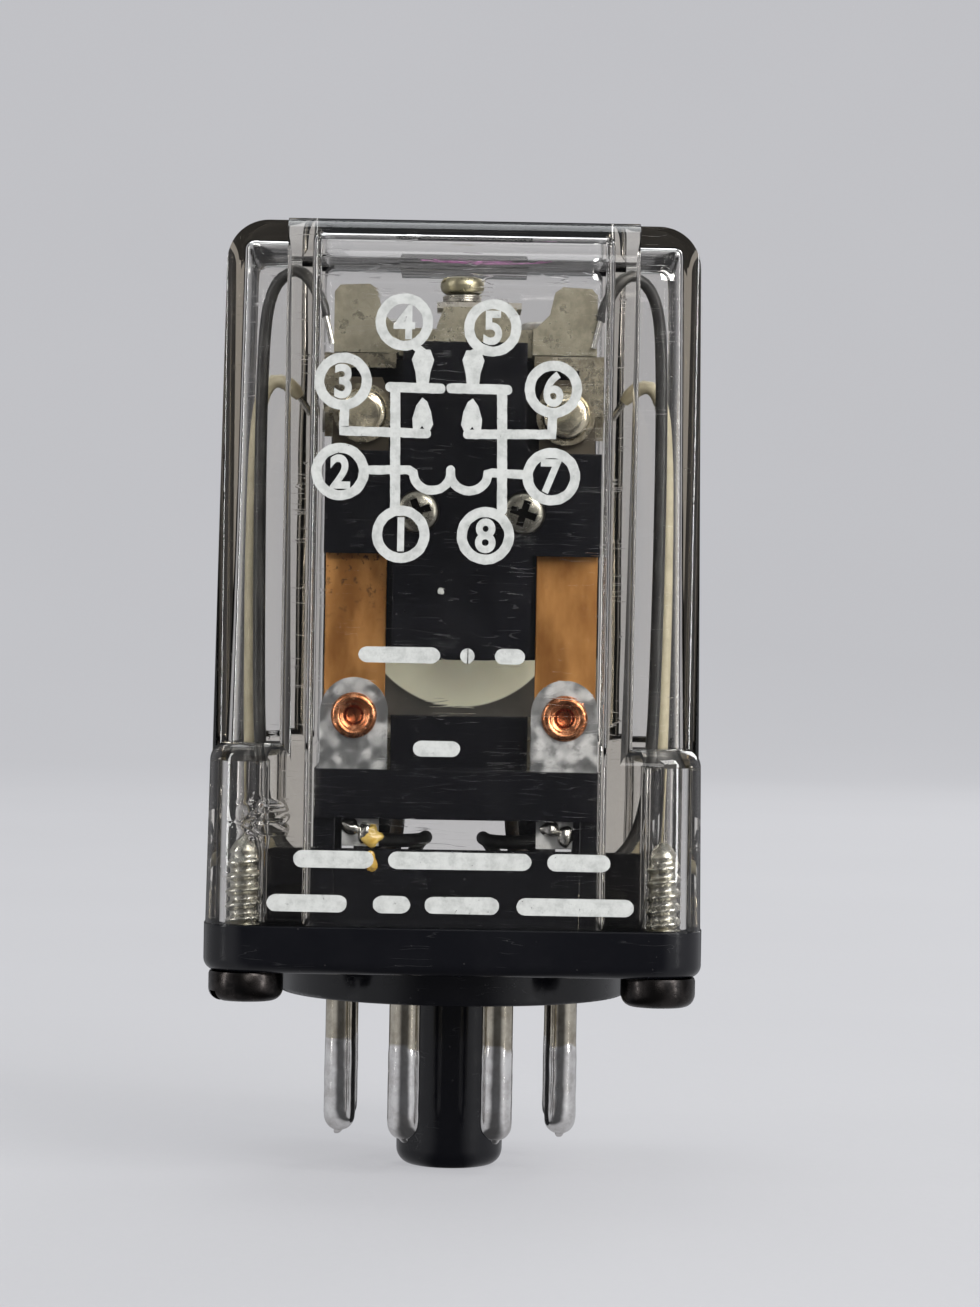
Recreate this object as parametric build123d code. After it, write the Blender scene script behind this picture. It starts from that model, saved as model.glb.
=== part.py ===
from build123d import *
import math
import os

# An eight-pin plug-in relay: a moulded base with a keyed plug below it, and a clear dust cover
# above it that holds a hinged-armature relay with two changeover contact sets.
# Millimetres. +Z up, the front face looks along -Y, and the origin is the centre of the pin
# circle on the underside of the round seating disc.

os.makedirs("parts", exist_ok=True)

# --- gaps between parts that are fixed together ---
FIXED_GAP = 0.02
CORE_GAP = 0.03
FACE_GAP = 0.01

# --- plug ---
PIN_CIRCLE_D = 17.45
PIN_COUNT = 8
PIN_R = 1.15
PIN_TIP_Z = -9.9
PIN_TOP_Z = 7.2
PIN_BORE_R = 0.7
PIN_BORE_Z = 3.0
PIN_SHANK_R = 1.35
PIN_END_R = 0.92
PIN_FIT = 0.01
PIN_COLLAR_H = 0.35
PIN_COLLAR_R = 1.55
NIB_R = 0.55
NIB_H = 0.5
NIB_END_R = 0.38
POST_R = 3.9
POST_H = 12.8
POST_END_R = 1.2
KEY_W = 1.9
KEY_REACH = 4.95

# --- base ---
BASE_W = 35.05
BASE_CORNER_R = 3.3
DISC_R = 12.75
DISC_H = 2.5
PLATE_TOP_Z = 5.85
PLATE_EDGE_R = 0.9
PILLAR_XY = 5.8
PILLAR_R = 1.8
PILLAR_TOP_Z = 13.15
YOKE_SCREW_R = 1.1
YOKE_SCREW_HOLE_R = 1.12
YOKE_SCREW_HEAD = (1.9, 1.3)
YOKE_SCREW_END_Z = 9.5
RAIL_Y = (-11.3, -10.35)
RAIL_TOP_Z = 11.0
RAIL_ROOT = 0.5
RAIL_WING_X = 13.4
RAIL_WING_Y = (-10.3, -9.3)
RAIL_GAP = 0.05
DISC_EDGE_R = 0.25
SCREW_PASS = 0.1

# --- cover ---
COVER_W = 34.9
COVER_TOP_Z = 55.5
COVER_DRAFT = 0.8
COVER_CORNER_R = 3.4
COVER_TOP_R = 3.0
WALL = 1.15
CEILING_Z = 54.2
PANEL_HALF = 12.35
PANEL_EDGE_R = 1.7
CAVITY_ARM = 10.6
CAVITY_R = 0.7
BOSS_TOP_Z = 18.6
BOSS_EDGE_R = 1.3
BOSS_XY = 14.5
BOSS_HOLE_R = 1.5
BOSS_HOLE_TOP_Z = 17.25
CEILING_PAD_X = 4.8
CEILING_PAD_H = 0.4

# --- cover screws ---
SCREW_HEAD_R = 2.65
SCREW_HEAD_H = 2.1
SCREW_R = 1.45
SCREW_ROOT_R = 1.12
THREAD_PITCH = 1.0
THREAD_TURNS = 5

# --- terminal header ---
MECH_X = 0.2
HEADER_HALF_X = 10.25
HEADER_Y = (-12.0, 11.0)
HEADER_Z = (13.2, 16.7)
HEADER_RIB_X = 4.9
HEADER_RIB_Y = (-9.2, -6.4)
HEADER_RIB_Z = 20.5
HEADER_POST_W = 1.5
HEADER_POST_L = 2.4
HEADER_EDGE_R = 0.6
HEADER_POST_INSET = 0.6
LEAD_HOLE_R = 0.7
TAB_X = 7.5
TAB_W = 4.8
TAB_Y = (-10.9, -10.42)
TAB_TOP_Z = 23.2
TAB_END_Z = 11.2
RIVET_Z = 20.5
TAIL_TAB_X = (5.6, 8.2)
EYELET_R = 1.0
EYELET_HOLE_R = 1.02
EYELET_HEAD = (1.65, 0.45)
EYELET_FLARE_R = 1.5
EYELET_WELL_R = 0.95
EYELET_ROLL_R = 0.3
EYELET_FLARE_H = 0.3
EYELET_FLOOR = 0.05
EYELET_DIMPLE_R = 0.6
EYELET_DIMPLE_H = 0.4
COIL_LEAD_X = 4.05
COIL_LEAD_Y = -4.55

# --- yoke ---
YOKE_HALF_X = 9.4
YOKE_T = 2.0
YOKE_TOP_Z = 48.4
YOKE_BACK_Y = 10.6
YOKE_FRONT_Y = -9.4
YOKE_FOOT_Y = -3.4
YOKE_BEND_R = 1.4
CUTOUT_HALF_X = 4.8
CUTOUT_Y = -6.4
EAR_BACK_Y = -7.3
EAR_EDGE = ((4.8, 48.1), (6.0, 49.3), (6.35, 50.9), (6.9, 51.3), (9.0, 51.2), (9.4, 50.7))
EAR_ARM = 0.5

# --- coil ---
COIL_Z = 28.5
CORE_R = 3.0
CORE_SCREW_R = 1.5
CORE_SCREW_HEAD = (2.8, 1.6)
CORE_SCREW_GRIP = 4.8
SHADING_R = (1.5, 2.2)
SHADING_OFFSET_Z = 0.5
SHADING_DEPTH = 1.2
CORE_FACE_Y = -5.0
CORE_END_Y = YOKE_BACK_Y - YOKE_T
FLANGE_HALF_X = 10.0
FLANGE_Z = (20.4, 36.6)
FLANGE_T = 1.0
FLANGE_EDGE_R = 0.8
FLANGE_REAR_Y = CORE_END_Y - 0.1
FLANGE_FRONT_Y = -4.5
FLANGE_DISC_R = 7.5
FLANGE_DISC_Y = -4.85
BARREL_R = 3.8
WINDING_R = 7.0

# --- armature and carrier ---
HINGE_Y = -6.45
HINGE_Z = 48.42
LEG_Y = (-8.3, -6.7)
LEG_HALF_X = 6.5
LEG_END_Z = 24.6
SHOULDER_Z = 38.3
NECK_HALF_X = 4.4
NECK_TOP_Z = 47.1
TAIL_X = (-1.9, 4.2)
TAIL_ROOT_X = (-2.4, 4.0)
TAIL_NECK_X = (-1.6, 3.6)
TAIL_Z = (48.45, 49.85)
TAIL_END_Y = -1.0
TAIL_ROOT = 0.5
LEAF_H = 0.45
LEAF_Y = (-6.9, -1.4)
CARRIER_HALF_X = 9.8
CARRIER_Z = (24.8, 39.3)
CARRIER_Y = (-9.9, -8.3)
DIP_SHARE = 0.4
DIP_H = 0.25
NECK_STEP = 0.5
CLAMP_Y = (-12.0, -10.45)
CLAMP_WING_Z = 32.0
CLAMP_RIB_HALF_X = 4.9
CARRIER_SCREW_X = (-3.2, 4.3)
CARRIER_SCREW_Z = 35.0
CARRIER_SCREW_HEAD_R = 1.6
CARRIER_SCREW_R = 0.9
CARRIER_SCREW_HEAD_H = 1.0
CARRIER_SCREW_L = 5.2
CARRIER_SCREW_FIT = 0.05

# --- adjusting screw and return spring ---
ADJUST_X = -0.1
ADJUST_Y = -4.0
ADJUST_R = 0.8
ADJUST_HEAD_R = 1.6
ADJUST_HEAD_Z = (51.05, 52.35)
ADJUST_L = 4.6
ADJUST_HOLE_R = ADJUST_R + 0.25
SPRING_R = 1.3
SPRING_WIRE_R = 0.11
SPRING_PITCH = 0.27

# --- contacts ---
CONTACT_X = 7.2
CONTACT_Z = 42.0
BLADE_Y = (-10.15, -9.9)
STRIP_Y = (-10.4, -10.15)
BLADE_X = (5.35, 9.35)
BLADE_Z = (33.0, 44.6)
BLADE_TOP_X = (5.9, 8.6)
BLADE_CORNER_Z = 43.4
STRIP_W = 4.35
STRIP_TOP_Z = 38.5
CONTACT_R = 1.3
CONTACT_H = 0.45
CONTACT_GAP = 0.05
SHANK_R = 0.69
SHANK_HOLE_R = 0.7
BLADE_SHANK_R = 0.61
BRACKET_T = 0.4
NC_PLATE_Y = (-11.5, -11.1)
NC_TAB_Z = (45.2, 46.2)
NC_DISC_R = 2.1
NC_DOME = (1.75, 0.75)
NC_DOME_EDGE_R = 0.7
NO_PLATE_Y = (-8.45, -8.05)
NO_PLATE_Z = (40.4, 43.6)
NO_FACE_Y = -8.88
BLOCK_HALF_X = 9.6
BLOCK_Y = (-5.6, 4.0)
BLOCK_Z = (38.2, 46.2)
BLOCK_EDGE_R = 0.5
BLOCK_SCREW_XY = (5.6, 1.6)
BLOCK_SCREW_R = 1.0
BLOCK_SCREW_HEAD = (1.6, 1.1)
BLOCK_SCREW_L = 6.5
BRACKET_RIVET_YZ = ((-3.6, 45.3), (-1.2, 42.0))
RIVET_R = 0.6
RIVET_HEAD = (1.0, 0.4)
RIVET_GRIP = 1.2
RIVET_GAP = 0.05
BRACKET_REACH = 1.8
NC_STRIP_HALF = 0.9
NO_STRIP_HALF = 1.0
NC_HANGER_W = 1.9
NO_UPSET_R = 1.09
NO_UPSET_H = 0.35

# --- leads ---
LEAD_R = 0.45
LEAD_DROP = 2.2
SLEEVE_R = 0.5


def block(x, y, z):
    """A box between its limits along X, Y and Z."""
    limits = (x, y, z)
    size = [high - low for low, high in limits]
    middle = [(high + low) / 2 for low, high in limits]
    return Pos(*middle) * Box(*size)


def rod(radius, start, end):
    """A round bar from one point to another."""
    axis = Vector(*end) - Vector(*start)
    section = Plane(origin=start, z_dir=axis) * Circle(radius)
    return extrude(section, axis.length)


def front_plate(outline, y):
    """A flat plate whose outline is drawn in X and Z, between two depths."""
    plane = Plane(origin=(0, y[1], 0), x_dir=(1, 0, 0), z_dir=(0, -1, 0))
    return extrude(plane * outline, y[1] - y[0], dir=(0, -1, 0))


def side_plate(points, x):
    """A plate whose outline is drawn in Y and Z, between two places along X."""
    plane = Plane(origin=(x[0], 0, 0), x_dir=(0, 1, 0), z_dir=(1, 0, 0))
    return extrude(plane * Polygon(*points, align=None), x[1] - x[0], dir=(1, 0, 0))


def pan_head(radius, height, base, direction):
    """A pan head with a rounded rim and a screwdriver slot, standing on base."""
    tip = Vector(*base) + Vector(*direction) * height
    head = rod(radius, base, tuple(tip))
    rim = head.edges().sort_by(Axis(base, direction))[-1]
    head = fillet(rim, height * 0.45)
    slot_plane = Plane(origin=tuple(tip), z_dir=direction)
    return head - slot_plane * Box(2.2 * radius, radius * 0.32, height * 0.9)


def machine_screw(head_radius, head_height, radius, base, direction, length):
    """A slotted screw: its head stands on base and its shank runs the other way."""
    end = Vector(*base) - Vector(*direction) * length
    return pan_head(head_radius, head_height, base, direction) + rod(radius, base, tuple(end))


def lead(points, radius, bend=0.45):
    """A wire along straight runs joined by arcs as large as the runs allow."""
    radii = []
    for before, corner, after in zip(points, points[1:], points[2:]):
        run_in = Vector(*corner) - Vector(*before)
        run_out = Vector(*after) - Vector(*corner)
        half_turn = math.radians(run_in.get_angle(run_out)) / 2
        radii.append(bend * min(run_in.length, run_out.length) / math.tan(half_turn))
    path = FilletPolyline(*points, radius=radii)
    section = Plane(origin=path @ 0, z_dir=path % 0) * Circle(radius)
    return sweep(section, path=path)


def on_coil_axis(radius, y):
    """A round bar on the coil's axis, between two depths."""
    return rod(radius, (MECH_X, y[0], COIL_Z), (MECH_X, y[1], COIL_Z))


def both_sides(part):
    """The right-hand piece and its left-hand mirror image, about the mechanism's middle."""
    return {"right": Pos(MECH_X, 0, 0) * part, "left": Pos(MECH_X, 0, 0) * mirror(part, Plane.YZ)}


def corners(distance):
    """The four points at the same distance from both middle planes."""
    return [(x * distance, y * distance) for x in (-1, 1) for y in (-1, 1)]


def pin_place(number):
    """Where a pin stands. Seen from below, the numbers run clockwise from the key."""
    angle = math.radians(90 + 360 / PIN_COUNT * (number - 0.5))
    return PIN_CIRCLE_D / 2 * math.cos(angle), PIN_CIRCLE_D / 2 * math.sin(angle)


parts = {}


# --- base: square plate, round disc, keyed post, two screw pillars and a low wall at the front ---
def octal_base():
    plate_h = PLATE_TOP_Z - DISC_H
    plate = extrude(Pos(0, 0, DISC_H) * RectangleRounded(BASE_W, BASE_W, BASE_CORNER_R), plate_h)
    plate = fillet(plate.faces().sort_by(Axis.Z)[0].edges(), PLATE_EDGE_R)
    disc = rod(DISC_R, (0, 0, 0), (0, 0, DISC_H))
    disc = fillet(disc.edges().sort_by(Axis.Z)[0], DISC_EDGE_R)
    post = rod(POST_R, (0, 0, -POST_H), (0, 0, 0))
    post = fillet(post.edges().sort_by(Axis.Z)[0], POST_END_R)
    key = block((-KEY_W / 2, KEY_W / 2), (0, KEY_REACH), (-POST_H + POST_END_R, 0))
    body = plate + disc + post + key
    for x in (-PILLAR_XY, PILLAR_XY):
        body += rod(PILLAR_R, (x, PILLAR_XY, PLATE_TOP_Z - 1), (x, PILLAR_XY, PILLAR_TOP_Z))
        body -= rod(YOKE_SCREW_HOLE_R, (x, PILLAR_XY, PLATE_TOP_Z + 1), (x, PILLAR_XY, PILLAR_TOP_Z))
    for number in range(1, PIN_COUNT + 1):
        x, y = pin_place(number)
        body -= rod(PIN_SHANK_R + PIN_FIT, (x, y, -1), (x, y, PLATE_TOP_Z + 1))
    for x, y in corners(BOSS_XY):
        body -= rod(SCREW_R + SCREW_PASS, (x, y, 0), (x, y, PLATE_TOP_Z + 1))
    rail_z = (PLATE_TOP_Z - RAIL_ROOT, RAIL_TOP_Z)
    rail_half = HEADER_HALF_X - HEADER_POST_W - RAIL_GAP
    body += block((MECH_X - rail_half, MECH_X + rail_half), RAIL_Y, rail_z)
    wing_start = HEADER_HALF_X + RAIL_GAP
    body += block((MECH_X + wing_start, RAIL_WING_X), RAIL_WING_Y, rail_z)
    return body + block((-RAIL_WING_X, MECH_X - wing_start), RAIL_WING_Y, rail_z)


def contact_pin():
    """A plug pin: rounded free end with a nib, and a thicker hollow shank pressed into the base."""
    free_end = rod(PIN_R, (0, 0, PIN_TIP_Z), (0, 0, 0))
    free_end = fillet(free_end.edges().sort_by(Axis.Z)[0], PIN_END_R)
    shank = rod(PIN_SHANK_R, (0, 0, 0), (0, 0, PIN_TOP_Z))
    nib = rod(NIB_R, (0, 0, PIN_TIP_Z - NIB_H), (0, 0, PIN_TIP_Z + NIB_H))
    nib = fillet(nib.edges().sort_by(Axis.Z)[0], NIB_END_R)
    collar = rod(PIN_COLLAR_R, (0, 0, PLATE_TOP_Z), (0, 0, PLATE_TOP_Z + PIN_COLLAR_H))
    bore = rod(PIN_BORE_R, (0, 0, PIN_BORE_Z), (0, 0, PIN_TOP_Z))
    return free_end + nib + shank + collar - bore


parts["octal_base"] = octal_base()
for number in range(1, PIN_COUNT + 1):
    parts[f"pin_{number}"] = Pos(*pin_place(number), 0) * contact_pin()


# --- cover: drafted shell with four screw bosses, and notched corners above them ---
def cavity_arm():
    """The hollow's front-to-back arm: drafted end walls and straight side walls."""
    low = COVER_W / 2 - WALL
    high = low - (CEILING_Z - PLATE_TOP_Z) * math.tan(math.radians(COVER_DRAFT))
    outline = [(-low, PLATE_TOP_Z), (low, PLATE_TOP_Z), (high, CEILING_Z), (-high, CEILING_Z)]
    arm = side_plate(outline, (-CAVITY_ARM, CAVITY_ARM))
    rounded = [edge for edge in arm.edges() if edge.center().Z > PLATE_TOP_Z + 1]
    return fillet(rounded, CAVITY_R)


def cover():
    height = COVER_TOP_Z - PLATE_TOP_Z
    square = Pos(0, 0, PLATE_TOP_Z) * RectangleRounded(COVER_W, COVER_W, COVER_CORNER_R)
    shell = extrude(square, height, taper=COVER_DRAFT)
    shell = fillet(shell.faces().sort_by(Axis.Z)[-1].edges(), COVER_TOP_R)
    lower = extrude(square, BOSS_TOP_Z - PLATE_TOP_Z, taper=COVER_DRAFT)
    lower = fillet(lower.faces().sort_by(Axis.Z)[-1].edges(), BOSS_EDGE_R)
    panel = RectangleRounded(2 * PANEL_HALF, COVER_W + 0.1, PANEL_EDGE_R)
    column = extrude(Pos(0, 0, PLATE_TOP_Z) * panel, height)
    shell = shell & (lower + column + Rot(0, 0, 90) * column)
    shell -= cavity_arm() + Rot(0, 0, 90) * cavity_arm()
    pad_z = (CEILING_Z - CEILING_PAD_H, CEILING_Z + WALL / 2)
    pad_y = COVER_W / 2 - 2 * WALL
    shell += block((-CEILING_PAD_X, CEILING_PAD_X), (-pad_y, pad_y), pad_z)
    for x, y in corners(BOSS_XY):
        shell -= rod(BOSS_HOLE_R, (x, y, PLATE_TOP_Z), (x, y, BOSS_HOLE_TOP_Z))
    return shell


def cover_screw():
    """A pan-head screw with thread crests drawn as rings, head down."""
    half = THREAD_PITCH / 2
    thread_z = PLATE_TOP_Z
    profile = [(0, DISC_H), (SCREW_R, DISC_H), (SCREW_R, thread_z)]
    for turn in range(THREAD_TURNS):
        low = thread_z + turn * THREAD_PITCH
        profile += [(SCREW_ROOT_R, low + half * 0.7), (SCREW_R, low + THREAD_PITCH)]
    profile += [(0, thread_z + THREAD_TURNS * THREAD_PITCH + SCREW_R)]
    shank = revolve(Plane.XZ * Polygon(*profile, align=None), Axis.Z)
    return pan_head(SCREW_HEAD_R, SCREW_HEAD_H, (0, 0, DISC_H), (0, 0, -1)) + shank


parts["cover"] = cover()
parts["cover_screws"] = Compound([Pos(x, y, 0) * cover_screw() for x, y in corners(BOSS_XY)])


# --- header: phenolic plate on four corner posts, with the two common tabs standing in it ---
def header():
    x_range = (MECH_X - HEADER_HALF_X, MECH_X + HEADER_HALF_X)
    through_z = (HEADER_Z[0] - 1, HEADER_Z[1] + 1)
    slot_y = (TAB_Y[0] - FIXED_GAP, TAB_Y[1] + FIXED_GAP)
    body = block(x_range, HEADER_Y, HEADER_Z)
    body = fillet(body.edges().filter_by(Axis.Z), HEADER_EDGE_R)
    rib_x = (MECH_X - HEADER_RIB_X, MECH_X + HEADER_RIB_X)
    body += block(rib_x, HEADER_RIB_Y, (HEADER_Z[0], HEADER_RIB_Z))
    for x in (x_range[0], x_range[1] - HEADER_POST_W):
        for y in (HEADER_Y[0] + HEADER_POST_INSET, HEADER_Y[1] - HEADER_POST_L - HEADER_POST_INSET):
            post_z = (PLATE_TOP_Z, HEADER_Z[0] + 1)
            body += block((x, x + HEADER_POST_W), (y, y + HEADER_POST_L), post_z)
    for side in (-1, 1):
        x = MECH_X + side * TAB_X
        slot_x = (x - TAB_W / 2 - FIXED_GAP, x + TAB_W / 2 + FIXED_GAP)
        body -= block(slot_x, slot_y, through_z)
        lead_xy = (MECH_X + side * COIL_LEAD_X, COIL_LEAD_Y)
        body -= rod(LEAD_HOLE_R, (*lead_xy, through_z[0]), (*lead_xy, through_z[1]))
        screw_xy = (side * PILLAR_XY, PILLAR_XY)
        body -= rod(YOKE_SCREW_HOLE_R, (*screw_xy, through_z[0]), (*screw_xy, through_z[1]))
    return body


def common_tab():
    top_r = TAB_W / 2
    outline = Pos(TAB_X, TAB_TOP_Z - top_r) * Circle(top_r)
    flat_h = TAB_TOP_Z - top_r - HEADER_Z[0]
    outline += Pos(TAB_X, HEADER_Z[0] + flat_h / 2) * Rectangle(TAB_W, flat_h)
    outline -= Pos(TAB_X, RIVET_Z) * Circle(EYELET_HOLE_R)
    solder_tail = block(TAIL_TAB_X, TAB_Y, (TAB_END_Z, HEADER_Z[0]))
    return front_plate(outline, TAB_Y) + solder_tail


def common_rivet():
    """An eyelet: a rolled head over the tab, and a flare behind the strip."""
    front = TAB_Y[0]
    back = STRIP_Y[1] + FACE_GAP

    def disc(radius, y_start, y_end):
        return rod(radius, (TAB_X, y_start, RIVET_Z), (TAB_X, y_end, RIVET_Z))

    head = disc(EYELET_HEAD[0], front, front - EYELET_HEAD[1])
    head = fillet(head.edges().sort_by(Axis.Y)[0], EYELET_ROLL_R)
    barrel = disc(EYELET_R, front, back)
    flare = disc(EYELET_FLARE_R, back, back + EYELET_FLARE_H)
    well = disc(EYELET_WELL_R, front - EYELET_HEAD[1], front - EYELET_FLOOR)
    dimple = disc(EYELET_DIMPLE_R, front - 2 * EYELET_FLOOR, front + EYELET_DIMPLE_H)
    return head + barrel + flare - well - dimple


def flex_strip():
    """The thin copper strip that joins the tab to the moving contact blade."""
    bottom_r = STRIP_W / 2
    outline = Pos(TAB_X, RIVET_Z) * Circle(bottom_r)
    outline += Pos(TAB_X, (RIVET_Z + STRIP_TOP_Z) / 2) * Rectangle(STRIP_W, STRIP_TOP_Z - RIVET_Z)
    outline -= Pos(TAB_X, RIVET_Z) * Circle(EYELET_HOLE_R)
    return front_plate(outline, STRIP_Y)


parts["terminal_header"] = header()
for side, part in both_sides(common_tab()).items():
    parts[f"common_tab_{side}"] = part
for side, part in both_sides(common_rivet()).items():
    parts[f"common_rivet_{side}"] = part
for side, part in both_sides(flex_strip()).items():
    parts[f"flex_strip_{side}"] = part


# --- yoke: steel strip bent round the coil, with two ears that guide the armature ---
def yoke():
    x_range = (-YOKE_HALF_X, YOKE_HALF_X)
    inner_top = YOKE_TOP_Z - YOKE_T
    inner_back = YOKE_BACK_Y - YOKE_T
    foot_top = HEADER_Z[1] + YOKE_T
    outline = [
        (CUTOUT_Y, YOKE_TOP_Z),
        (YOKE_BACK_Y, YOKE_TOP_Z),
        (YOKE_BACK_Y, HEADER_Z[1]),
        (YOKE_FOOT_Y, HEADER_Z[1]),
        (YOKE_FOOT_Y, foot_top),
        (inner_back, foot_top),
        (inner_back, inner_top),
        (CUTOUT_Y, inner_top),
    ]
    body = side_plate(outline, x_range)
    bends = [
        edge
        for edge in body.edges().filter_by(Axis.X)
        if abs(edge.center().Y - YOKE_BACK_Y) < 0.01
    ]
    body = fillet(bends, YOKE_BEND_R)
    ear = [(CUTOUT_HALF_X, inner_top), *EAR_EDGE, (YOKE_HALF_X, inner_top)]
    ear_plate = front_plate(Polygon(*ear, align=None), (YOKE_FRONT_Y, EAR_BACK_Y))
    arm_y = (EAR_BACK_Y - EAR_ARM, CUTOUT_Y + 1)
    arm = block((CUTOUT_HALF_X, YOKE_HALF_X), arm_y, (inner_top, YOKE_TOP_Z))
    body += ear_plate + arm + mirror(ear_plate + arm, Plane.YZ)
    body = Pos(MECH_X, 0, 0) * body
    adjust_xy = (ADJUST_X, ADJUST_Y)
    body -= rod(ADJUST_R + FIXED_GAP, (*adjust_xy, inner_top - 1), (*adjust_xy, YOKE_TOP_Z + 1))
    body -= on_coil_axis(CORE_SCREW_R + CORE_GAP, (inner_back - 1, YOKE_BACK_Y + 1))
    for x in (-PILLAR_XY, PILLAR_XY):
        body -= rod(YOKE_SCREW_HOLE_R, (x, PILLAR_XY, HEADER_Z[1] - 1), (x, PILLAR_XY, foot_top + 1))
    for x in (-BLOCK_SCREW_XY[0], BLOCK_SCREW_XY[0]):
        place = (MECH_X + x, BLOCK_SCREW_XY[1])
        body -= rod(BLOCK_SCREW_R + FIXED_GAP, (*place, inner_top - 1), (*place, YOKE_TOP_Z + 1))
    return body


def yoke_screw(x):
    foot_top = HEADER_Z[1] + YOKE_T
    length = foot_top - YOKE_SCREW_END_Z
    return machine_screw(*YOKE_SCREW_HEAD, YOKE_SCREW_R, (x, PILLAR_XY, foot_top), (0, 0, 1), length)


parts["yoke"] = yoke()
parts["yoke_screws"] = Compound([yoke_screw(x) for x in (-PILLAR_XY, PILLAR_XY)])


# --- coil: core with its shading ring, bobbin and taped winding, along Y ---
def shading_groove(clearance):
    """The ring-shaped groove in the pole face, above the core's middle."""
    depth = (CORE_FACE_Y, CORE_FACE_Y + SHADING_DEPTH)
    outer = on_coil_axis(SHADING_R[1] + clearance, depth)
    inner = on_coil_axis(SHADING_R[0] - clearance, depth)
    return Pos(0, 0, SHADING_OFFSET_Z) * (outer - inner)


def bobbin():
    flange_x = (MECH_X - FLANGE_HALF_X, MECH_X + FLANGE_HALF_X)
    front = block(flange_x, (FLANGE_FRONT_Y, FLANGE_FRONT_Y + FLANGE_T), FLANGE_Z)
    rear = block(flange_x, (FLANGE_REAR_Y - FLANGE_T, FLANGE_REAR_Y), FLANGE_Z)
    body = on_coil_axis(FLANGE_DISC_R, (FLANGE_DISC_Y, FLANGE_FRONT_Y))
    for flange in (front, rear):
        body += fillet(flange.edges().filter_by(Axis.Y), FLANGE_EDGE_R)
    body += on_coil_axis(BARREL_R, (FLANGE_FRONT_Y, FLANGE_REAR_Y))
    return body - on_coil_axis(CORE_R + CORE_GAP, (FLANGE_DISC_Y - 1, FLANGE_REAR_Y + 1))


def winding():
    rear_y = FLANGE_REAR_Y - FLANGE_T
    tape = on_coil_axis(WINDING_R, (FLANGE_FRONT_Y + FLANGE_T, rear_y))
    return tape - on_coil_axis(BARREL_R, (FLANGE_FRONT_Y, rear_y + 1))


core_bar = on_coil_axis(CORE_R, (CORE_FACE_Y, CORE_END_Y)) - shading_groove(FIXED_GAP)
parts["core"] = core_bar - on_coil_axis(CORE_SCREW_R, (CORE_END_Y - 5, CORE_END_Y + 1))
parts["core_screw"] = machine_screw(
    *CORE_SCREW_HEAD,
    CORE_SCREW_R - FACE_GAP,
    (MECH_X, YOKE_BACK_Y, COIL_Z),
    (0, 1, 0),
    YOKE_T + CORE_SCREW_GRIP,
)
parts["shading_ring"] = shading_groove(0)
parts["coil_bobbin"] = bobbin()
parts["coil_winding"] = winding()


# --- fixed contacts: an insulating block under the yoke carries four brackets ---
def contact_block():
    body = block((-BLOCK_HALF_X, BLOCK_HALF_X), BLOCK_Y, BLOCK_Z)
    body = fillet(body.edges().filter_by(Axis.Z), BLOCK_EDGE_R)
    for x in (-BLOCK_SCREW_XY[0], BLOCK_SCREW_XY[0]):
        place = (x, BLOCK_SCREW_XY[1])
        body -= rod(BLOCK_SCREW_R + FACE_GAP, (*place, BLOCK_Z[1] - 5), (*place, BLOCK_Z[1] + 1))
    for side in (-1, 1):
        for y, z in BRACKET_RIVET_YZ:
            inside, outside = side * (BLOCK_HALF_X - RIVET_GRIP), side * (BLOCK_HALF_X + 1)
            body -= rod(RIVET_R + FIXED_GAP, (inside, y, z), (outside, y, z))
    return Pos(MECH_X, 0, 0) * body


def at_contact(radius, y_start, y_end):
    """A round bar through the contacts' common centre, between two depths."""
    return rod(radius, (CONTACT_X, y_start, CONTACT_Z), (CONTACT_X, y_end, CONTACT_Z))


def nc_bracket():
    """Normally closed: a side strip, a front tab, and a disc that hangs before the blade."""
    outer = BLOCK_HALF_X + BRACKET_T
    y, z = BRACKET_RIVET_YZ[0]
    strip_z = (z - NC_STRIP_HALF, NC_TAB_Z[1])
    strip = block((BLOCK_HALF_X, outer), (NC_PLATE_Y[0], y + BRACKET_REACH), strip_z)
    tab = block((CUTOUT_HALF_X + 0.1, outer), NC_PLATE_Y, NC_TAB_Z)
    hanger = block((outer - NC_HANGER_W, outer), NC_PLATE_Y, (CONTACT_Z, NC_TAB_Z[1]))
    disc = at_contact(NC_DISC_R, *NC_PLATE_Y)
    plate = strip + tab + hanger + disc
    plate -= rod(RIVET_R + FIXED_GAP, (BLOCK_HALF_X - 1, y, z), (outer + 1, y, z))
    return plate - at_contact(SHANK_HOLE_R, NC_PLATE_Y[0] - 1, NC_PLATE_Y[1] + 1)


def nc_contact():
    """The fixed contact: a domed head in front of the bracket and a flat button behind."""
    face_y = BLADE_Y[0] - CONTACT_H - CONTACT_GAP
    button = at_contact(CONTACT_R, NC_PLATE_Y[1], face_y)
    shank = at_contact(SHANK_R, *NC_PLATE_Y)
    dome = at_contact(NC_DOME[0], NC_PLATE_Y[0], NC_PLATE_Y[0] - NC_DOME[1])
    dome = fillet(dome.edges().sort_by(Axis.Y)[0], NC_DOME_EDGE_R)
    return button + shank + dome


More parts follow.
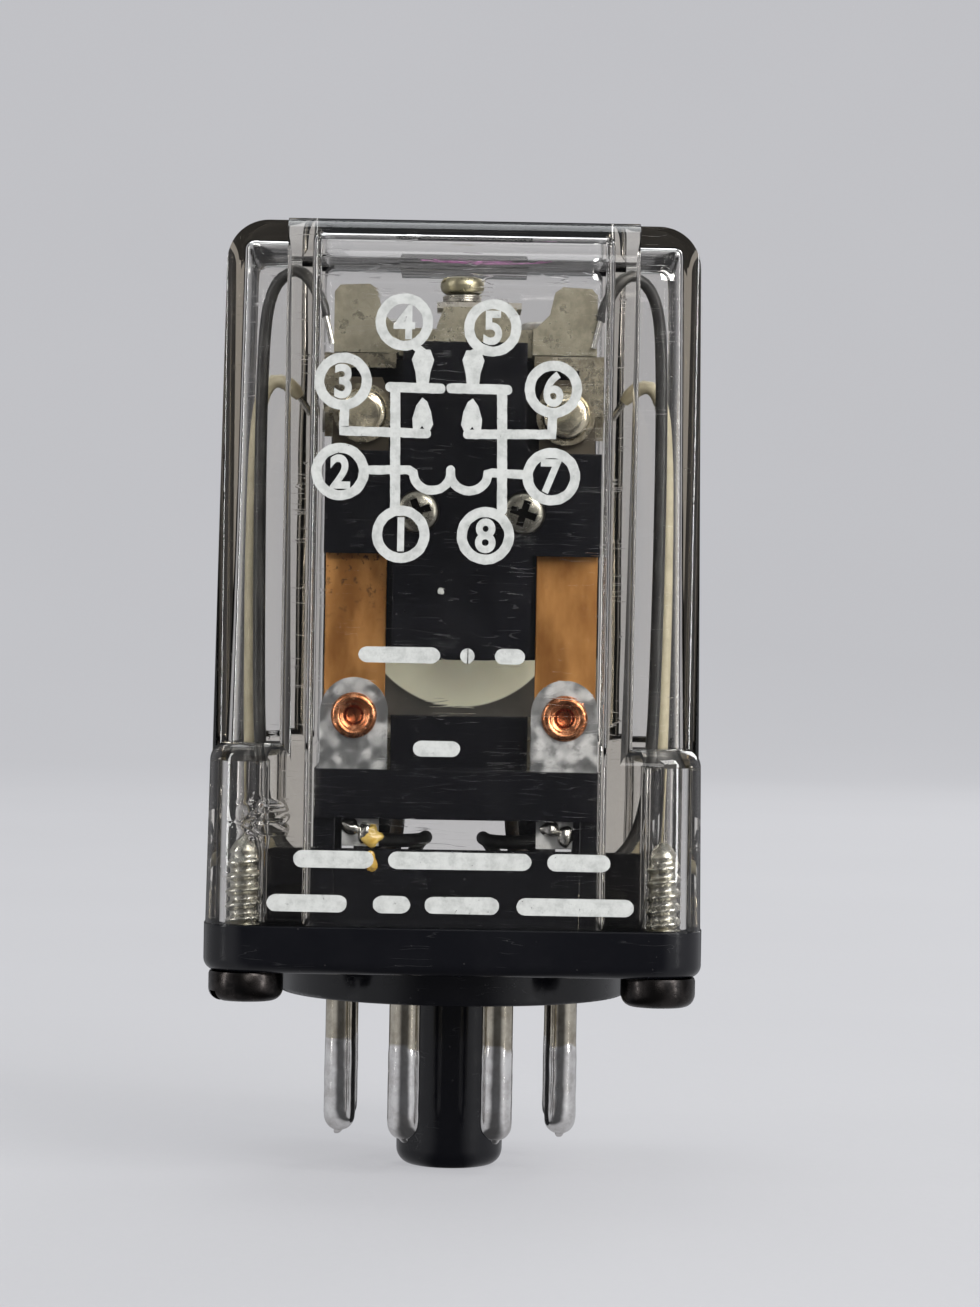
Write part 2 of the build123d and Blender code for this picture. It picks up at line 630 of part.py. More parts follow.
def no_bracket():
    """Normally open: a side strip and a front tab behind the blade."""
    outer = BLOCK_HALF_X + BRACKET_T
    y, z = BRACKET_RIVET_YZ[1]
    strip_z = (z - NO_STRIP_HALF, z + NO_STRIP_HALF)
    strip = block((BLOCK_HALF_X, outer), (NO_PLATE_Y[0], y + BRACKET_REACH), strip_z)
    tab = block((CONTACT_X, outer), NO_PLATE_Y, NO_PLATE_Z)
    nose = at_contact((NO_PLATE_Z[1] - NO_PLATE_Z[0]) / 2, *NO_PLATE_Y)
    plate = strip + tab + nose - rod(RIVET_R + FIXED_GAP, (BLOCK_HALF_X - 1, y, z), (outer + 1, y, z))
    return plate - at_contact(SHANK_HOLE_R, NO_PLATE_Y[0] - 1, NO_PLATE_Y[1] + 1)


def no_contact():
    button = at_contact(CONTACT_R, NO_FACE_Y, NO_PLATE_Y[0])
    shank = at_contact(SHANK_R, *NO_PLATE_Y)
    return button + shank + at_contact(NO_UPSET_R, NO_PLATE_Y[1], NO_PLATE_Y[1] + NO_UPSET_H)


def bracket_rivet(side, place):
    y, z = place
    inside = side * (BLOCK_HALF_X - RIVET_GRIP + RIVET_GAP) + MECH_X
    face = side * (BLOCK_HALF_X + BRACKET_T) + MECH_X
    top = face + side * RIVET_HEAD[1]
    return rod(RIVET_R, (inside, y, z), (face, y, z)) + rod(RIVET_HEAD[0], (face, y, z), (top, y, z))


def block_screw(x):
    base = (MECH_X + x, BLOCK_SCREW_XY[1], YOKE_TOP_Z)
    return machine_screw(*BLOCK_SCREW_HEAD, BLOCK_SCREW_R, base, (0, 0, 1), BLOCK_SCREW_L)


parts["contact_block"] = contact_block()
parts["block_screws"] = Compound([block_screw(side * BLOCK_SCREW_XY[0]) for side in (-1, 1)])
parts["bracket_rivets"] = Compound(
    [bracket_rivet(side, place) for side in (-1, 1) for place in BRACKET_RIVET_YZ]
)
for name, part in (
    ("nc_bracket", nc_bracket()),
    ("nc_contact", nc_contact()),
    ("no_bracket", no_bracket()),
    ("no_contact", no_contact()),
):
    for side, piece in both_sides(part).items():
        parts[f"{name}_{side}"] = piece


# --- armature: an L of steel over the yoke's front edge, carrying the moving contacts ---
def drill_for_screws(body, clearance):
    """Two holes for the carrier's screws, right through a body."""
    for x in CARRIER_SCREW_X:
        front = (MECH_X + x, CLAMP_Y[0] - 1, CARRIER_SCREW_Z)
        back = (MECH_X + x, LEG_Y[1] + 1, CARRIER_SCREW_Z)
        body -= rod(CARRIER_SCREW_R + clearance, front, back)
    return body


def armature():
    leg = [
        (-LEG_HALF_X, LEG_END_Z),
        (LEG_HALF_X, LEG_END_Z),
        (LEG_HALF_X, SHOULDER_Z),
        (NECK_HALF_X, SHOULDER_Z + 1),
        (NECK_HALF_X, NECK_TOP_Z),
        (TAIL_ROOT_X[1], TAIL_Z[0] - 1),
        (TAIL_NECK_X[1], TAIL_Z[1]),
        (TAIL_NECK_X[0], TAIL_Z[1]),
        (TAIL_ROOT_X[0], TAIL_Z[0] - 1),
        (-NECK_HALF_X, NECK_TOP_Z),
        (-NECK_HALF_X, SHOULDER_Z + 1),
        (-LEG_HALF_X, SHOULDER_Z),
    ]
    body = Pos(MECH_X, 0, 0) * front_plate(Polygon(*leg, align=None), LEG_Y)
    tail_x = (MECH_X + TAIL_NECK_X[0], MECH_X + TAIL_NECK_X[1])
    body += block(tail_x, (LEG_Y[1] - TAIL_ROOT, TAIL_END_Y), TAIL_Z)
    adjust_xy = (ADJUST_X, ADJUST_Y)
    body -= rod(ADJUST_HOLE_R, (*adjust_xy, TAIL_Z[0] - 1), (*adjust_xy, TAIL_Z[1] + 1))
    return drill_for_screws(body, FACE_GAP)


def spring_leaf():
    """The thin steel seat between the armature's tail and the return spring."""
    leaf_z = (TAIL_Z[1], TAIL_Z[1] + LEAF_H)
    leaf = block(TAIL_X, LEAF_Y, leaf_z)
    adjust_xy = (ADJUST_X, ADJUST_Y)
    return leaf - rod(ADJUST_HOLE_R, (*adjust_xy, leaf_z[0] - 1), (*adjust_xy, leaf_z[1] + 1))


def carrier_outline(low_half_x, low_z):
    """The carrier as seen from the front, with its own width and lower edge."""
    return [
        (-low_half_x, low_z),
        (-low_half_x * DIP_SHARE, low_z - DIP_H),
        (low_half_x * DIP_SHARE, low_z - DIP_H),
        (low_half_x, low_z),
    ]


def neck_points():
    """The wings' upper corners and the neck, from right to left."""
    wing_z = CARRIER_Z[1]
    right = [(CARRIER_HALF_X, wing_z), (NECK_HALF_X + NECK_STEP, wing_z)]
    right += [(NECK_HALF_X, wing_z + NECK_STEP)]
    right += [(NECK_HALF_X, NECK_TOP_Z)]
    return right + [(-x, z) for x, z in reversed(right)]


def contact_carrier():
    outline = carrier_outline(CARRIER_HALF_X, CARRIER_Z[0]) + neck_points()
    body = Pos(MECH_X, 0, 0) * front_plate(Polygon(*outline, align=None), CARRIER_Y)
    return drill_for_screws(body, CARRIER_SCREW_FIT)


def blade_clamp():
    """The front moulding: its wings grip the strips, and its rib meets the carrier."""
    outline = carrier_outline(CLAMP_RIB_HALF_X, CARRIER_Z[0])
    outline += [(CLAMP_RIB_HALF_X, CLAMP_WING_Z), (CARRIER_HALF_X, CLAMP_WING_Z)]
    outline += neck_points()
    outline += [(-CARRIER_HALF_X, CLAMP_WING_Z), (-CLAMP_RIB_HALF_X, CLAMP_WING_Z)]
    front = front_plate(Polygon(*outline, align=None), CLAMP_Y)
    rib = block((-CLAMP_RIB_HALF_X, CLAMP_RIB_HALF_X), (CLAMP_Y[1], CARRIER_Y[0]), CARRIER_Z)
    return drill_for_screws(Pos(MECH_X, 0, 0) * (front + rib), CARRIER_SCREW_FIT)


def carrier_screw(x):
    base = (MECH_X + x, CLAMP_Y[0], CARRIER_SCREW_Z)
    head = (CARRIER_SCREW_HEAD_R, CARRIER_SCREW_HEAD_H)
    return machine_screw(*head, CARRIER_SCREW_R, base, (0, -1, 0), CARRIER_SCREW_L)


def moving_blade():
    outline = Polygon(
        (BLADE_X[0], BLADE_Z[0]),
        (BLADE_X[1], BLADE_Z[0]),
        (BLADE_X[1], BLADE_CORNER_Z),
        (BLADE_TOP_X[1], BLADE_Z[1]),
        (BLADE_TOP_X[0], BLADE_Z[1]),
        (BLADE_X[0], BLADE_CORNER_Z),
        align=None,
    )
    outline -= Pos(CONTACT_X, CONTACT_Z) * Circle(BLADE_SHANK_R + FACE_GAP)
    return front_plate(outline, BLADE_Y)


def moving_contact():
    """A silver rivet through the blade, with a face on each side."""
    front, back = BLADE_Y
    faces = at_contact(CONTACT_R, front - CONTACT_H, front) + at_contact(CONTACT_R, back, back + CONTACT_H)
    return at_contact(BLADE_SHANK_R, front, back) + faces


parts["armature"] = armature()
parts["spring_leaf"] = spring_leaf()
parts["contact_carrier"] = contact_carrier()
parts["blade_clamp"] = blade_clamp()
parts["carrier_screws"] = Compound([carrier_screw(x) for x in CARRIER_SCREW_X])
for side, part in both_sides(moving_blade()).items():
    parts[f"moving_blade_{side}"] = part
for side, part in both_sides(moving_contact()).items():
    parts[f"moving_contact_{side}"] = part


# --- adjusting screw, and the return spring under its head ---
def return_spring():
    low = TAIL_Z[1] + LEAF_H + SPRING_WIRE_R + FIXED_GAP
    high = ADJUST_HEAD_Z[0] - SPRING_WIRE_R - FIXED_GAP
    path = Helix(SPRING_PITCH, high - low, SPRING_R, center=(ADJUST_X, ADJUST_Y, low))
    section = Plane(origin=path @ 0, z_dir=path % 0) * Circle(SPRING_WIRE_R)
    return sweep(section, path=path, is_frenet=True)


head_h = ADJUST_HEAD_Z[1] - ADJUST_HEAD_Z[0]
adjust_base = (ADJUST_X, ADJUST_Y, ADJUST_HEAD_Z[0])
parts["return_spring"] = return_spring()
parts["adjusting_screw"] = machine_screw(
    ADJUST_HEAD_R, head_h, ADJUST_R, adjust_base, (0, 0, 1), ADJUST_L
)


# --- leads: each runs from its terminal to the bore of its plug pin ---
def pin_end(number):
    """The last points of a lead: over the pin, then down onto its top. Right-hand pins only."""
    x, y = pin_place(number)
    return [(x, y, PIN_TOP_Z + LEAD_DROP), (x, y, PIN_TOP_Z)]


NC_ROUTE = [
    (9.3, -10.15, 46.9),
    (10.0, -10.0, 50.2),
    (11.8, -9.3, 52.4),
    (13.8, -8.2, 51.2),
    (14.4, -7.5, 46.5),
    (14.4, -7.1, 30.0),
    (14.1, -6.8, 14.5),
    (11.8, -6.9, 9.6),
    (5.4, -8.3, 9.2),
]
NO_ROUTE = [
    (10.9, -4.2, 42.0),
    (12.4, -4.9, 44.6),
    (14.4, -5.4, 44.4),
    (15.0, -5.4, 39.0),
    (15.0, -5.3, 25.0),
    (14.8, -5.0, 14.0),
    (12.6, -4.0, 9.6),
]
COIL_ROUTE = [
    (COIL_LEAD_X, FLANGE_DISC_Y + 0.75, FLANGE_Z[0] - 0.2),
    (COIL_LEAD_X, COIL_LEAD_Y, 18.0),
    (COIL_LEAD_X, COIL_LEAD_Y, 12.4),
    (4.6, -3.0, 10.1),
    (7.6, 1.2, 9.6),
]
COMMON_ROUTE = [
    (7.3, -9.85, 12.3),
    (6.2, -8.3, 11.5),
    (2.6, -5.2, 11.3),
    (2.0, 1.5, 11.3),
    (2.5, 6.2, 10.8),
]
LEADS = (
    ("nc_lead", NC_ROUTE, 5, LEAD_R),
    ("no_lead", NO_ROUTE, 6, LEAD_R),
    ("coil_lead", COIL_ROUTE, 7, SLEEVE_R),
    ("common_lead", COMMON_ROUTE, 8, SLEEVE_R),
)
for name, route, number, radius in LEADS:
    wire = lead(route + pin_end(number), radius)
    parts[f"{name}_right"] = wire
    parts[f"{name}_left"] = mirror(wire, Plane.YZ)

for name, part in parts.items():
    export_step(part, f"parts/{name}.step")
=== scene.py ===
import math
import random

import bpy
from mathutils import Matrix, Quaternion, Vector, noise


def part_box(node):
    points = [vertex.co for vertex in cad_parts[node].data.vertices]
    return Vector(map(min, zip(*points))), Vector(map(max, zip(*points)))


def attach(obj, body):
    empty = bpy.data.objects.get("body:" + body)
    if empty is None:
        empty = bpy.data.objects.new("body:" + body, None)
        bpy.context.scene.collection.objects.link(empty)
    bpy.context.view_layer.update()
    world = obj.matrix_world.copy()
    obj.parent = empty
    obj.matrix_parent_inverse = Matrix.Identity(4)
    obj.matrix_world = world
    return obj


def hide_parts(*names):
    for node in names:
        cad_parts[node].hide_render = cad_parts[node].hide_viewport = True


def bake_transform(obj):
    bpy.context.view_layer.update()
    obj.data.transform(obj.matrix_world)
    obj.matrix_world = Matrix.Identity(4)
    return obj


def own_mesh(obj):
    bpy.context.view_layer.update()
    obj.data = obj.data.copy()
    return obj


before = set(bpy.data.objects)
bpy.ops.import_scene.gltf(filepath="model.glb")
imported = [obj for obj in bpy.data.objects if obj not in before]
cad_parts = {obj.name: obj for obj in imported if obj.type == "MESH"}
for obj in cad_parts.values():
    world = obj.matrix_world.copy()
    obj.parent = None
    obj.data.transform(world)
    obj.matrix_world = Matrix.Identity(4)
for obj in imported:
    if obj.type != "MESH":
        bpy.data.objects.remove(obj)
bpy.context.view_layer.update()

# An eight-pin plug-in relay under a clear cover. Lengths in this script are millimetres where
# they are multiplied by MM, and metres in the finished meshes.

MM = 0.001
RELAY = "relay_body"
ARMATURE = "armature"


def node_box(name):
    """A CAD node's lowest and highest corners in millimetres."""
    low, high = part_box(name)
    return Vector(low) / MM, Vector(high) / MM


# --- places: some read from the CAD nodes, the rest given ---
COVER_LOW, COVER_HIGH = node_box("cover")
BASE_LOW = node_box("octal_base")[0]
PLATE_TOP = COVER_LOW.z
COVER_HALF = COVER_HIGH.y
COVER_TOP = COVER_HIGH.z
DRAFT = math.tan(math.radians(0.8))
BOSS_XY = 14.5
MECH_X = 0.2
TAB_X = 7.5
COIL_Z = 28.5


# ---------------------------------------------------------------- mesh helpers
def mesh_piece(name, points, faces, material, slot, body=RELAY, sharp=40):
    """A mesh from points in millimetres, shaded smooth up to the sharp angle in degrees.

    With no body the piece is left free.
    """
    mesh = bpy.data.meshes.new(name)
    mesh.from_pydata([Vector(p) * MM for p in points], [], faces)
    mesh.validate()
    mesh.polygons.foreach_set("use_smooth", [True] * len(mesh.polygons))
    mesh.set_sharp_from_angle(angle=math.radians(sharp))
    mesh.materials.append(material)
    piece = bpy.data.objects.new(name, mesh)
    bpy.context.scene.collection.objects.link(piece)
    if body:
        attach(piece, body)
    return piece


def skin(rings, caps=True):
    """Points and faces of a closed skin over rings that have the same number of points."""
    count = len(rings[0])
    points = [p for ring in rings for p in ring]
    faces = []
    for row in range(len(rings) - 1):
        for i in range(count):
            j = (i + 1) % count
            a, b = row * count, (row + 1) * count
            faces.append((a + i, a + j, b + j, b + i))
    if caps:
        faces.append(tuple(reversed(range(count))))
        faces.append(tuple(range(len(points) - count, len(points))))
    return points, faces


def join(*shapes):
    """Several (points, faces) in one."""
    points, faces = [], []
    for more_points, more_faces in shapes:
        start = len(points)
        points += [Vector(p) for p in more_points]
        faces += [tuple(i + start for i in face) for face in more_faces]
    return points, faces


def moved(shape, matrix):
    points, faces = shape
    return [matrix @ Vector(p) for p in points], faces


def lathe(profile, segments=48):
    """A turned shape about Z from (radius, height) points, listed from the bottom up."""
    rings = []
    for radius, height in profile:
        steps = [2 * math.pi * i / segments for i in range(segments)]
        rings.append([(radius * math.cos(a), radius * math.sin(a), height) for a in steps])
    return skin(rings)


def facing(axis, place):
    """The matrix that takes +Z to an axis, at a place in millimetres."""
    turn = Vector((0, 0, 1)).rotation_difference(Vector(axis)).to_matrix().to_4x4()
    return Matrix.Translation(Vector(place)) @ turn


def arc(centre, radius, start, end, steps):
    """(radius, height) points of an arc, between angles in degrees."""
    points = []
    for i in range(steps + 1):
        angle = math.radians(start + (end - start) * i / steps)
        points.append((centre[0] + radius * math.cos(angle), centre[1] + radius * math.sin(angle)))
    return points


def smooth_path(points, count):
    """Evenly numbered points along a smooth line that has the given control points."""
    curve = bpy.data.curves.new("path", "CURVE")
    curve.dimensions = "3D"
    spline = curve.splines.new("NURBS")
    spline.points.add(len(points) - 1)
    for item, place in zip(spline.points, points):
        item.co = (*place, 1)
    spline.order_u = 3
    spline.use_endpoint_u = True
    curve.resolution_u = 12
    holder = bpy.data.objects.new("path", curve)
    line = bpy.data.meshes.new_from_object(holder)
    found = [v.co.copy() for v in line.vertices]
    bpy.data.objects.remove(holder)
    bpy.data.meshes.remove(line)
    lengths = [0.0]
    for a, b in zip(found, found[1:]):
        lengths.append(lengths[-1] + (b - a).length)
    result = []
    index = 0
    for step in range(count):
        want = lengths[-1] * step / (count - 1)
        while index < len(found) - 2 and lengths[index + 1] < want:
            index += 1
        span = lengths[index + 1] - lengths[index]
        share = (want - lengths[index]) / span if span else 0
        result.append(found[index].lerp(found[index + 1], min(share, 1)))
    return result


def tube(path, radius, segments=20, swell=None):
    """A round skin along a path. swell(share) scales the radius along it."""
    rings = []
    tangent = (path[1] - path[0]).normalized()
    side = tangent.orthogonal().normalized()
    for i, place in enumerate(path):
        ahead = path[min(i + 1, len(path) - 1)] - path[max(i - 1, 0)]
        ahead.normalize()
        side = (side - ahead * side.dot(ahead)).normalized()
        up = ahead.cross(side)
        r = radius * (swell(i / (len(path) - 1)) if swell else 1)
        steps = [2 * math.pi * k / segments for k in range(segments)]
        rings.append([place + side * r * math.cos(a) + up * r * math.sin(a) for a in steps])
    return skin(rings)


# ---------------------------------------------------------------- material helpers
class Graph:
    """One material's nodes. Sizes of patterns are given in millimetres."""

    def __init__(self, name):
        self.material = bpy.data.materials.new(name)
        self.material.use_nodes = True
        self.tree = self.material.node_tree
        self.tree.nodes.clear()
        self.place = self.add("TexCoord").outputs["Object"]

    def add(self, kind, inputs=None, **settings):
        node = self.tree.nodes.new("ShaderNode" + kind)
        for key, value in settings.items():
            setattr(node, key, value)
        for key, value in (inputs or {}).items():
            self.plug(node.inputs[key], value)
        return node

    def plug(self, socket, value):
        if isinstance(value, bpy.types.NodeSocket):
            self.tree.links.new(value, socket)
            return
        if socket.type == "RGBA" and len(value) == 3:
            value = (*value, 1)
        socket.default_value = value

    def stretched(self, stretch, turn=(0, 0, 0)):
        """The object's coordinates, turned and then divided by stretch along each axis."""
        scale = [1 / s for s in stretch]
        turn = [math.radians(t) for t in turn]
        node = self.add("Mapping", {"Vector": self.place, "Rotation": turn, "Scale": scale})
        return node.outputs[0]

    def noise(self, size, detail=3, rough=0.5, stretch=(1, 1, 1), turn=(0, 0, 0), warp=0):
        where = self.stretched(stretch, turn)
        inputs = {
            "Vector": where,
            "Scale": 1 / (size * MM),
            "Detail": detail,
            "Roughness": rough,
            "Distortion": warp,
        }
        return self.add("TexNoise", inputs).outputs[0]

    def cells(self, size, feature="F1", stretch=(1, 1, 1), turn=(0, 0, 0), output="Distance"):
        where = self.stretched(stretch, turn)
        node = self.add("TexVoronoi", {"Vector": where, "Scale": 1 / (size * MM)}, feature=feature)
        return node.outputs[output]

    def remap(self, value, low, high, to_low=0.0, to_high=1.0):
        inputs = {"Value": value, "From Min": low, "From Max": high}
        inputs.update({"To Min": to_low, "To Max": to_high})
        return self.add("MapRange", inputs, interpolation_type="SMOOTHSTEP").outputs[0]

    def math(self, operation, a, b=0.0):
        return self.add("Math", {0: a, 1: b}, operation=operation).outputs[0]

    def mix(self, share, a, b):
        node = self.add("Mix", data_type="RGBA")
        self.plug(node.inputs[0], share)
        self.plug(node.inputs[6], a)
        self.plug(node.inputs[7], b)
        return node.outputs[2]

    def height(self):
        """The object's own Z, in millimetres."""
        z = self.add("SeparateXYZ", {0: self.place}).outputs[2]
        return self.math("MULTIPLY", z, 1 / MM)

    def axis(self, index):
        value = self.add("SeparateXYZ", {0: self.place}).outputs[index]
        return self.math("MULTIPLY", value, 1 / MM)

    def near(self, centre, radius):
        """1 at a place in millimetres, falling to 0 at a radius."""
        far = self.add("VectorMath", {0: self.place, 1: [c * MM for c in centre]}, operation="DISTANCE")
        return self.remap(far.outputs["Value"], 0.3 * radius * MM, radius * MM, 1.0, 0.0)

    def bump(self, value, depth, normal=None):
        """Relief of the given depth in millimetres."""
        inputs = {"Height": value, "Distance": depth * MM, "Strength": 1.0}
        if normal is not None:
            inputs["Normal"] = normal
        return self.add("Bump", inputs).outputs[0]

    def scratches(self, size, length, turn, amount=0.06):
        """1 on a few thin straight lines of about that spacing, 0 elsewhere."""
        streaks = self.noise(size, 2, 0.5, stretch=(length, 1, 1), turn=turn)
        band = self.math("ABSOLUTE", self.math("SUBTRACT", streaks, 0.5))
        line = self.remap(band, 0.0, 0.012, 1.0, 0.0)
        keep = self.remap(self.noise(size * 3, 1), 0.5 + amount, 0.62 + amount)
        return self.math("MULTIPLY", line, keep)

    def dust(self, size, share=0.12):
        """1 on small scattered specks."""
        return self.remap(self.cells(size), share * 0.6, share, 1.0, 0.0)

    def principled(self, **inputs):
        names = {
            "color": "Base Color",
            "metallic": "Metallic",
            "rough": "Roughness",
            "ior": "IOR",
            "normal": "Normal",
            "coat": "Coat Weight",
            "coat_rough": "Coat Roughness",
            "specular": "Specular IOR Level",
            "glass": "Transmission Weight",
            "inside": "Subsurface Weight",
            "alpha": "Alpha",
        }
        return self.add("BsdfPrincipled", {names[k]: v for k, v in inputs.items()}).outputs[0]

    def surface(self, shader, depth=None):
        out = self.add("OutputMaterial")
        self.tree.links.new(shader, out.inputs["Surface"])
        if depth is not None:
            self.tree.links.new(depth, out.inputs["Volume"])
        return self.material


# ---------------------------------------------------------------- materials
def clear_cover():
    """Old clear moulding: faint flow waves, handling scratches, haze and a warm tint in its depth."""
    g = Graph("cover_clear")
    fine = g.scratches(0.9, 9, (0, 62, 20))
    cross = g.scratches(1.3, 14, (35, -48, 8))
    marks = g.math("MAXIMUM", fine, cross)
    haze = g.remap(g.noise(5.5, 4, 0.6), 0.5, 0.8, 0.0, 0.05)
    crack = g.near((-13.6, -17.0, 13.2), 2.3)
    broken = g.cells(1.3, "DISTANCE_TO_EDGE", stretch=(1.8, 1, 0.7), turn=(20, 10, 35))
    broken = g.math("MULTIPLY", crack, g.remap(broken, 0.0, 0.25, 1.0, 0.0))
    rough = g.math("ADD", haze, g.math("MULTIPLY", marks, 0.16))
    waves = g.noise(7.0, 2, 0.4, stretch=(1, 1, 2.2))
    normal = g.bump(waves, 0.045)
    normal = g.bump(g.math("SUBTRACT", 1.0, marks), 0.003, normal)
    normal = g.bump(broken, 0.12, normal)
    glass = g.principled(color=(0.965, 0.96, 0.955), rough=rough, ior=1.5, glass=1.0, normal=normal)
    path = g.add("LightPath").outputs["Is Shadow Ray"]
    through = g.add("BsdfTransparent", {"Color": (0.95, 0.95, 0.94)}).outputs[0]
    both = g.add("MixShader", {0: path, 1: glass, 2: through}).outputs[0]
    depth = g.add("VolumeAbsorption", {"Color": (0.60, 0.54, 0.43), "Density": 75.0}).outputs[0]
    return g.surface(both, depth)


def black_moulding(name, gloss=0.12, tone=0.0035, wear=0.14):
    """Glossy black phenolic: cloudy polish, fine scratches and grey dust."""
    g = Graph(name)
    cloud = g.noise(3.2, 5, 0.6)
    lines = g.scratches(0.7, 12, (10, 35, 70), 0.02)
    specks = g.dust(1.1, 0.06)
    dark = (tone, tone * 1.05, tone * 1.5)
    grey = (tone * 2.2, tone * 2.2, tone * 2.8)
    color = g.mix(g.remap(cloud, 0.35, 0.75, 0, 0.35), dark, grey)
    color = g.mix(g.math("MULTIPLY", lines, 0.25 * wear), color, (0.22, 0.22, 0.23))
    color = g.mix(g.math("MULTIPLY", specks, 0.5 * wear), color, (0.35, 0.34, 0.32))
    rough = g.remap(cloud, 0.3, 0.8, gloss * 0.8, gloss * 1.7)
    rough = g.math("ADD", rough, g.math("MULTIPLY", lines, 0.25))
    edges = g.add("Bevel", {"Radius": 0.16 * MM}, samples=4).outputs[0]
    normal = g.bump(g.noise(1.8, 2), 0.012, edges)
    normal = g.bump(g.noise(0.25, 2), 0.0012, normal)
    normal = g.bump(lines, 0.002, normal)
    return g.surface(g.principled(color=color, rough=rough, ior=1.6, specular=0.32, normal=normal))


def plated(name, bright, dull, gloss=0.25, stain=0.5, grain=0.4, brushed=(1, 1, 1)):
    """Plated sheet metal: bright plate with duller stains, pits and a rolled grain."""
    g = Graph(name)
    cloud = g.noise(1.6, 5, 0.65)
    fine = g.noise(grain, 3, 0.6, stretch=brushed)
    pits = g.dust(0.8, 0.08)
    share = g.math("MULTIPLY", g.remap(cloud, 0.4, 0.7), stain)
    color = g.mix(share, bright, dull)
    color = g.mix(g.math("MULTIPLY", pits, 0.5), color, [c * 0.35 for c in dull])
    rough = g.math("ADD", g.remap(cloud, 0.3, 0.8, gloss, gloss + 0.22), g.remap(fine, 0.2, 0.8, -0.05, 0.08))
    normal = g.bump(fine, 0.004)
    normal = g.bump(cloud, 0.01, normal)
    return g.surface(g.principled(color=color, metallic=1.0, rough=rough, normal=normal))


def screw_steel():
    """Darker heads below the plate; lighter, zinc-coloured threads inside the bosses."""
    g = Graph("screw_black")
    cloud = g.noise(1.1, 5, 0.65)
    black = g.mix(g.remap(cloud, 0.4, 0.7), (0.045, 0.040, 0.038), (0.016, 0.015, 0.015))
    zinc = g.mix(g.remap(cloud, 0.4, 0.7), (0.52, 0.51, 0.46), (0.30, 0.28, 0.22))
    # Colour by height: dark below the plate, lighter above it.
    up = g.remap(g.height(), PLATE_TOP - 0.4, PLATE_TOP - 0.1)
    color = g.mix(up, black, zinc)
    rough = g.remap(cloud, 0.3, 0.8, 0.22, 0.4)
    normal = g.bump(g.noise(0.4, 3, 0.6), 0.006)
    return g.surface(g.principled(color=color, metallic=1.0, rough=rough, normal=normal))


def recessed_steel():
    """Grey plated screw heads, painted near-black as shade in the cross recess and round the back of the rim.
    """
    g = Graph("screw_grey")
    cloud = g.noise(0.9, 4, 0.6)
    plate = g.mix(g.remap(cloud, 0.35, 0.75), (0.36, 0.35, 0.30), (0.22, 0.21, 0.18))
    # Painted shade: near-black in the cross recess and round the back of the rim, where shade falls.
    recess_shade = g.remap(g.axis(1), -12.82, -12.6)
    color = g.mix(recess_shade, plate, (0.012, 0.011, 0.010))
    rough = g.math("ADD", g.remap(cloud, 0.2, 0.8, 0.22, 0.34), g.math("MULTIPLY", recess_shade, 0.3))
    normal = g.bump(cloud, 0.006)
    return g.surface(g.principled(color=color, metallic=1.0, rough=rough, normal=normal))


def tinned_tab():
    """Hot-tinned brass: grey spangle cells, darker in the hollows between them."""
    g = Graph("tinned_brass")
    cells = g.cells(0.75, "SMOOTH_F1", output="Color")
    tone = g.add("SeparateColor", {0: cells}).outputs[0]
    cloud = g.noise(0.9, 5, 0.7)
    color = g.mix(g.remap(tone, 0.1, 0.9), (0.20, 0.205, 0.21), (0.58, 0.585, 0.59))
    color = g.mix(g.remap(cloud, 0.5, 0.75, 0, 0.7), color, (0.12, 0.12, 0.12))
    rough = g.remap(tone, 0.0, 1.0, 0.3, 0.5)
    normal = g.bump(cloud, 0.03)
    normal = g.bump(tone, 0.012, normal)
    return g.surface(g.principled(color=color, metallic=0.85, rough=rough, normal=normal))


def bronze_strip():
    """Phosphor-bronze strip: brown and orange heat tints with dark spots near the clamp."""
    g = Graph("strip_bronze")
    cloud = g.noise(2.4, 4, 0.6, stretch=(1, 1, 2.5))
    color = g.mix(g.remap(cloud, 0.3, 0.7), (0.34, 0.145, 0.04), (0.54, 0.27, 0.09))
    spots = g.remap(g.noise(0.5, 3, 0.7), 0.56, 0.66)
    high = g.remap(g.height(), 25.5, 31.5)
    left = g.remap(g.axis(0), -5.0, -4.0, 1.0, 0.0)
    spotted = g.math("MULTIPLY", spots, high)
    side_share = g.math("ADD", g.math("MULTIPLY", left, 0.75), 0.12)
    share = g.math("MULTIPLY", spotted, side_share)
    color = g.mix(share, color, (0.07, 0.045, 0.03))
    # Above about 39 mm the strip turns near-black.
    darker_top = g.remap(g.height(), 38.0, 39.5)
    color = g.mix(darker_top, color, (0.10, 0.085, 0.065))
    rough = g.remap(cloud, 0.2, 0.8, 0.28, 0.42)
    normal = g.bump(g.noise(0.3, 2, stretch=(1, 1, 7)), 0.003)
    return g.surface(g.principled(color=color, metallic=0.92, rough=rough, normal=normal))


def copper():
    """Copper eyelets: the well is painted darker and redder as shade; the rolled edge keeps the plain copper
    colour.
    """
    g = Graph("copper")
    cloud = g.noise(0.8, 4, 0.6)
    color = g.mix(g.remap(cloud, 0.35, 0.7), (0.50, 0.18, 0.075), (0.78, 0.36, 0.19))
    # Painted shade: the deep well of each eyelet is darker and redder.
    inside = g.remap(g.axis(1), -11.16, -10.95)
    color = g.mix(inside, color, (0.36, 0.10, 0.04))
    rough = g.remap(cloud, 0.2, 0.8, 0.16, 0.32)
    normal = g.bump(cloud, 0.01)
    return g.surface(g.principled(color=color, metallic=1.0, rough=rough, normal=normal))


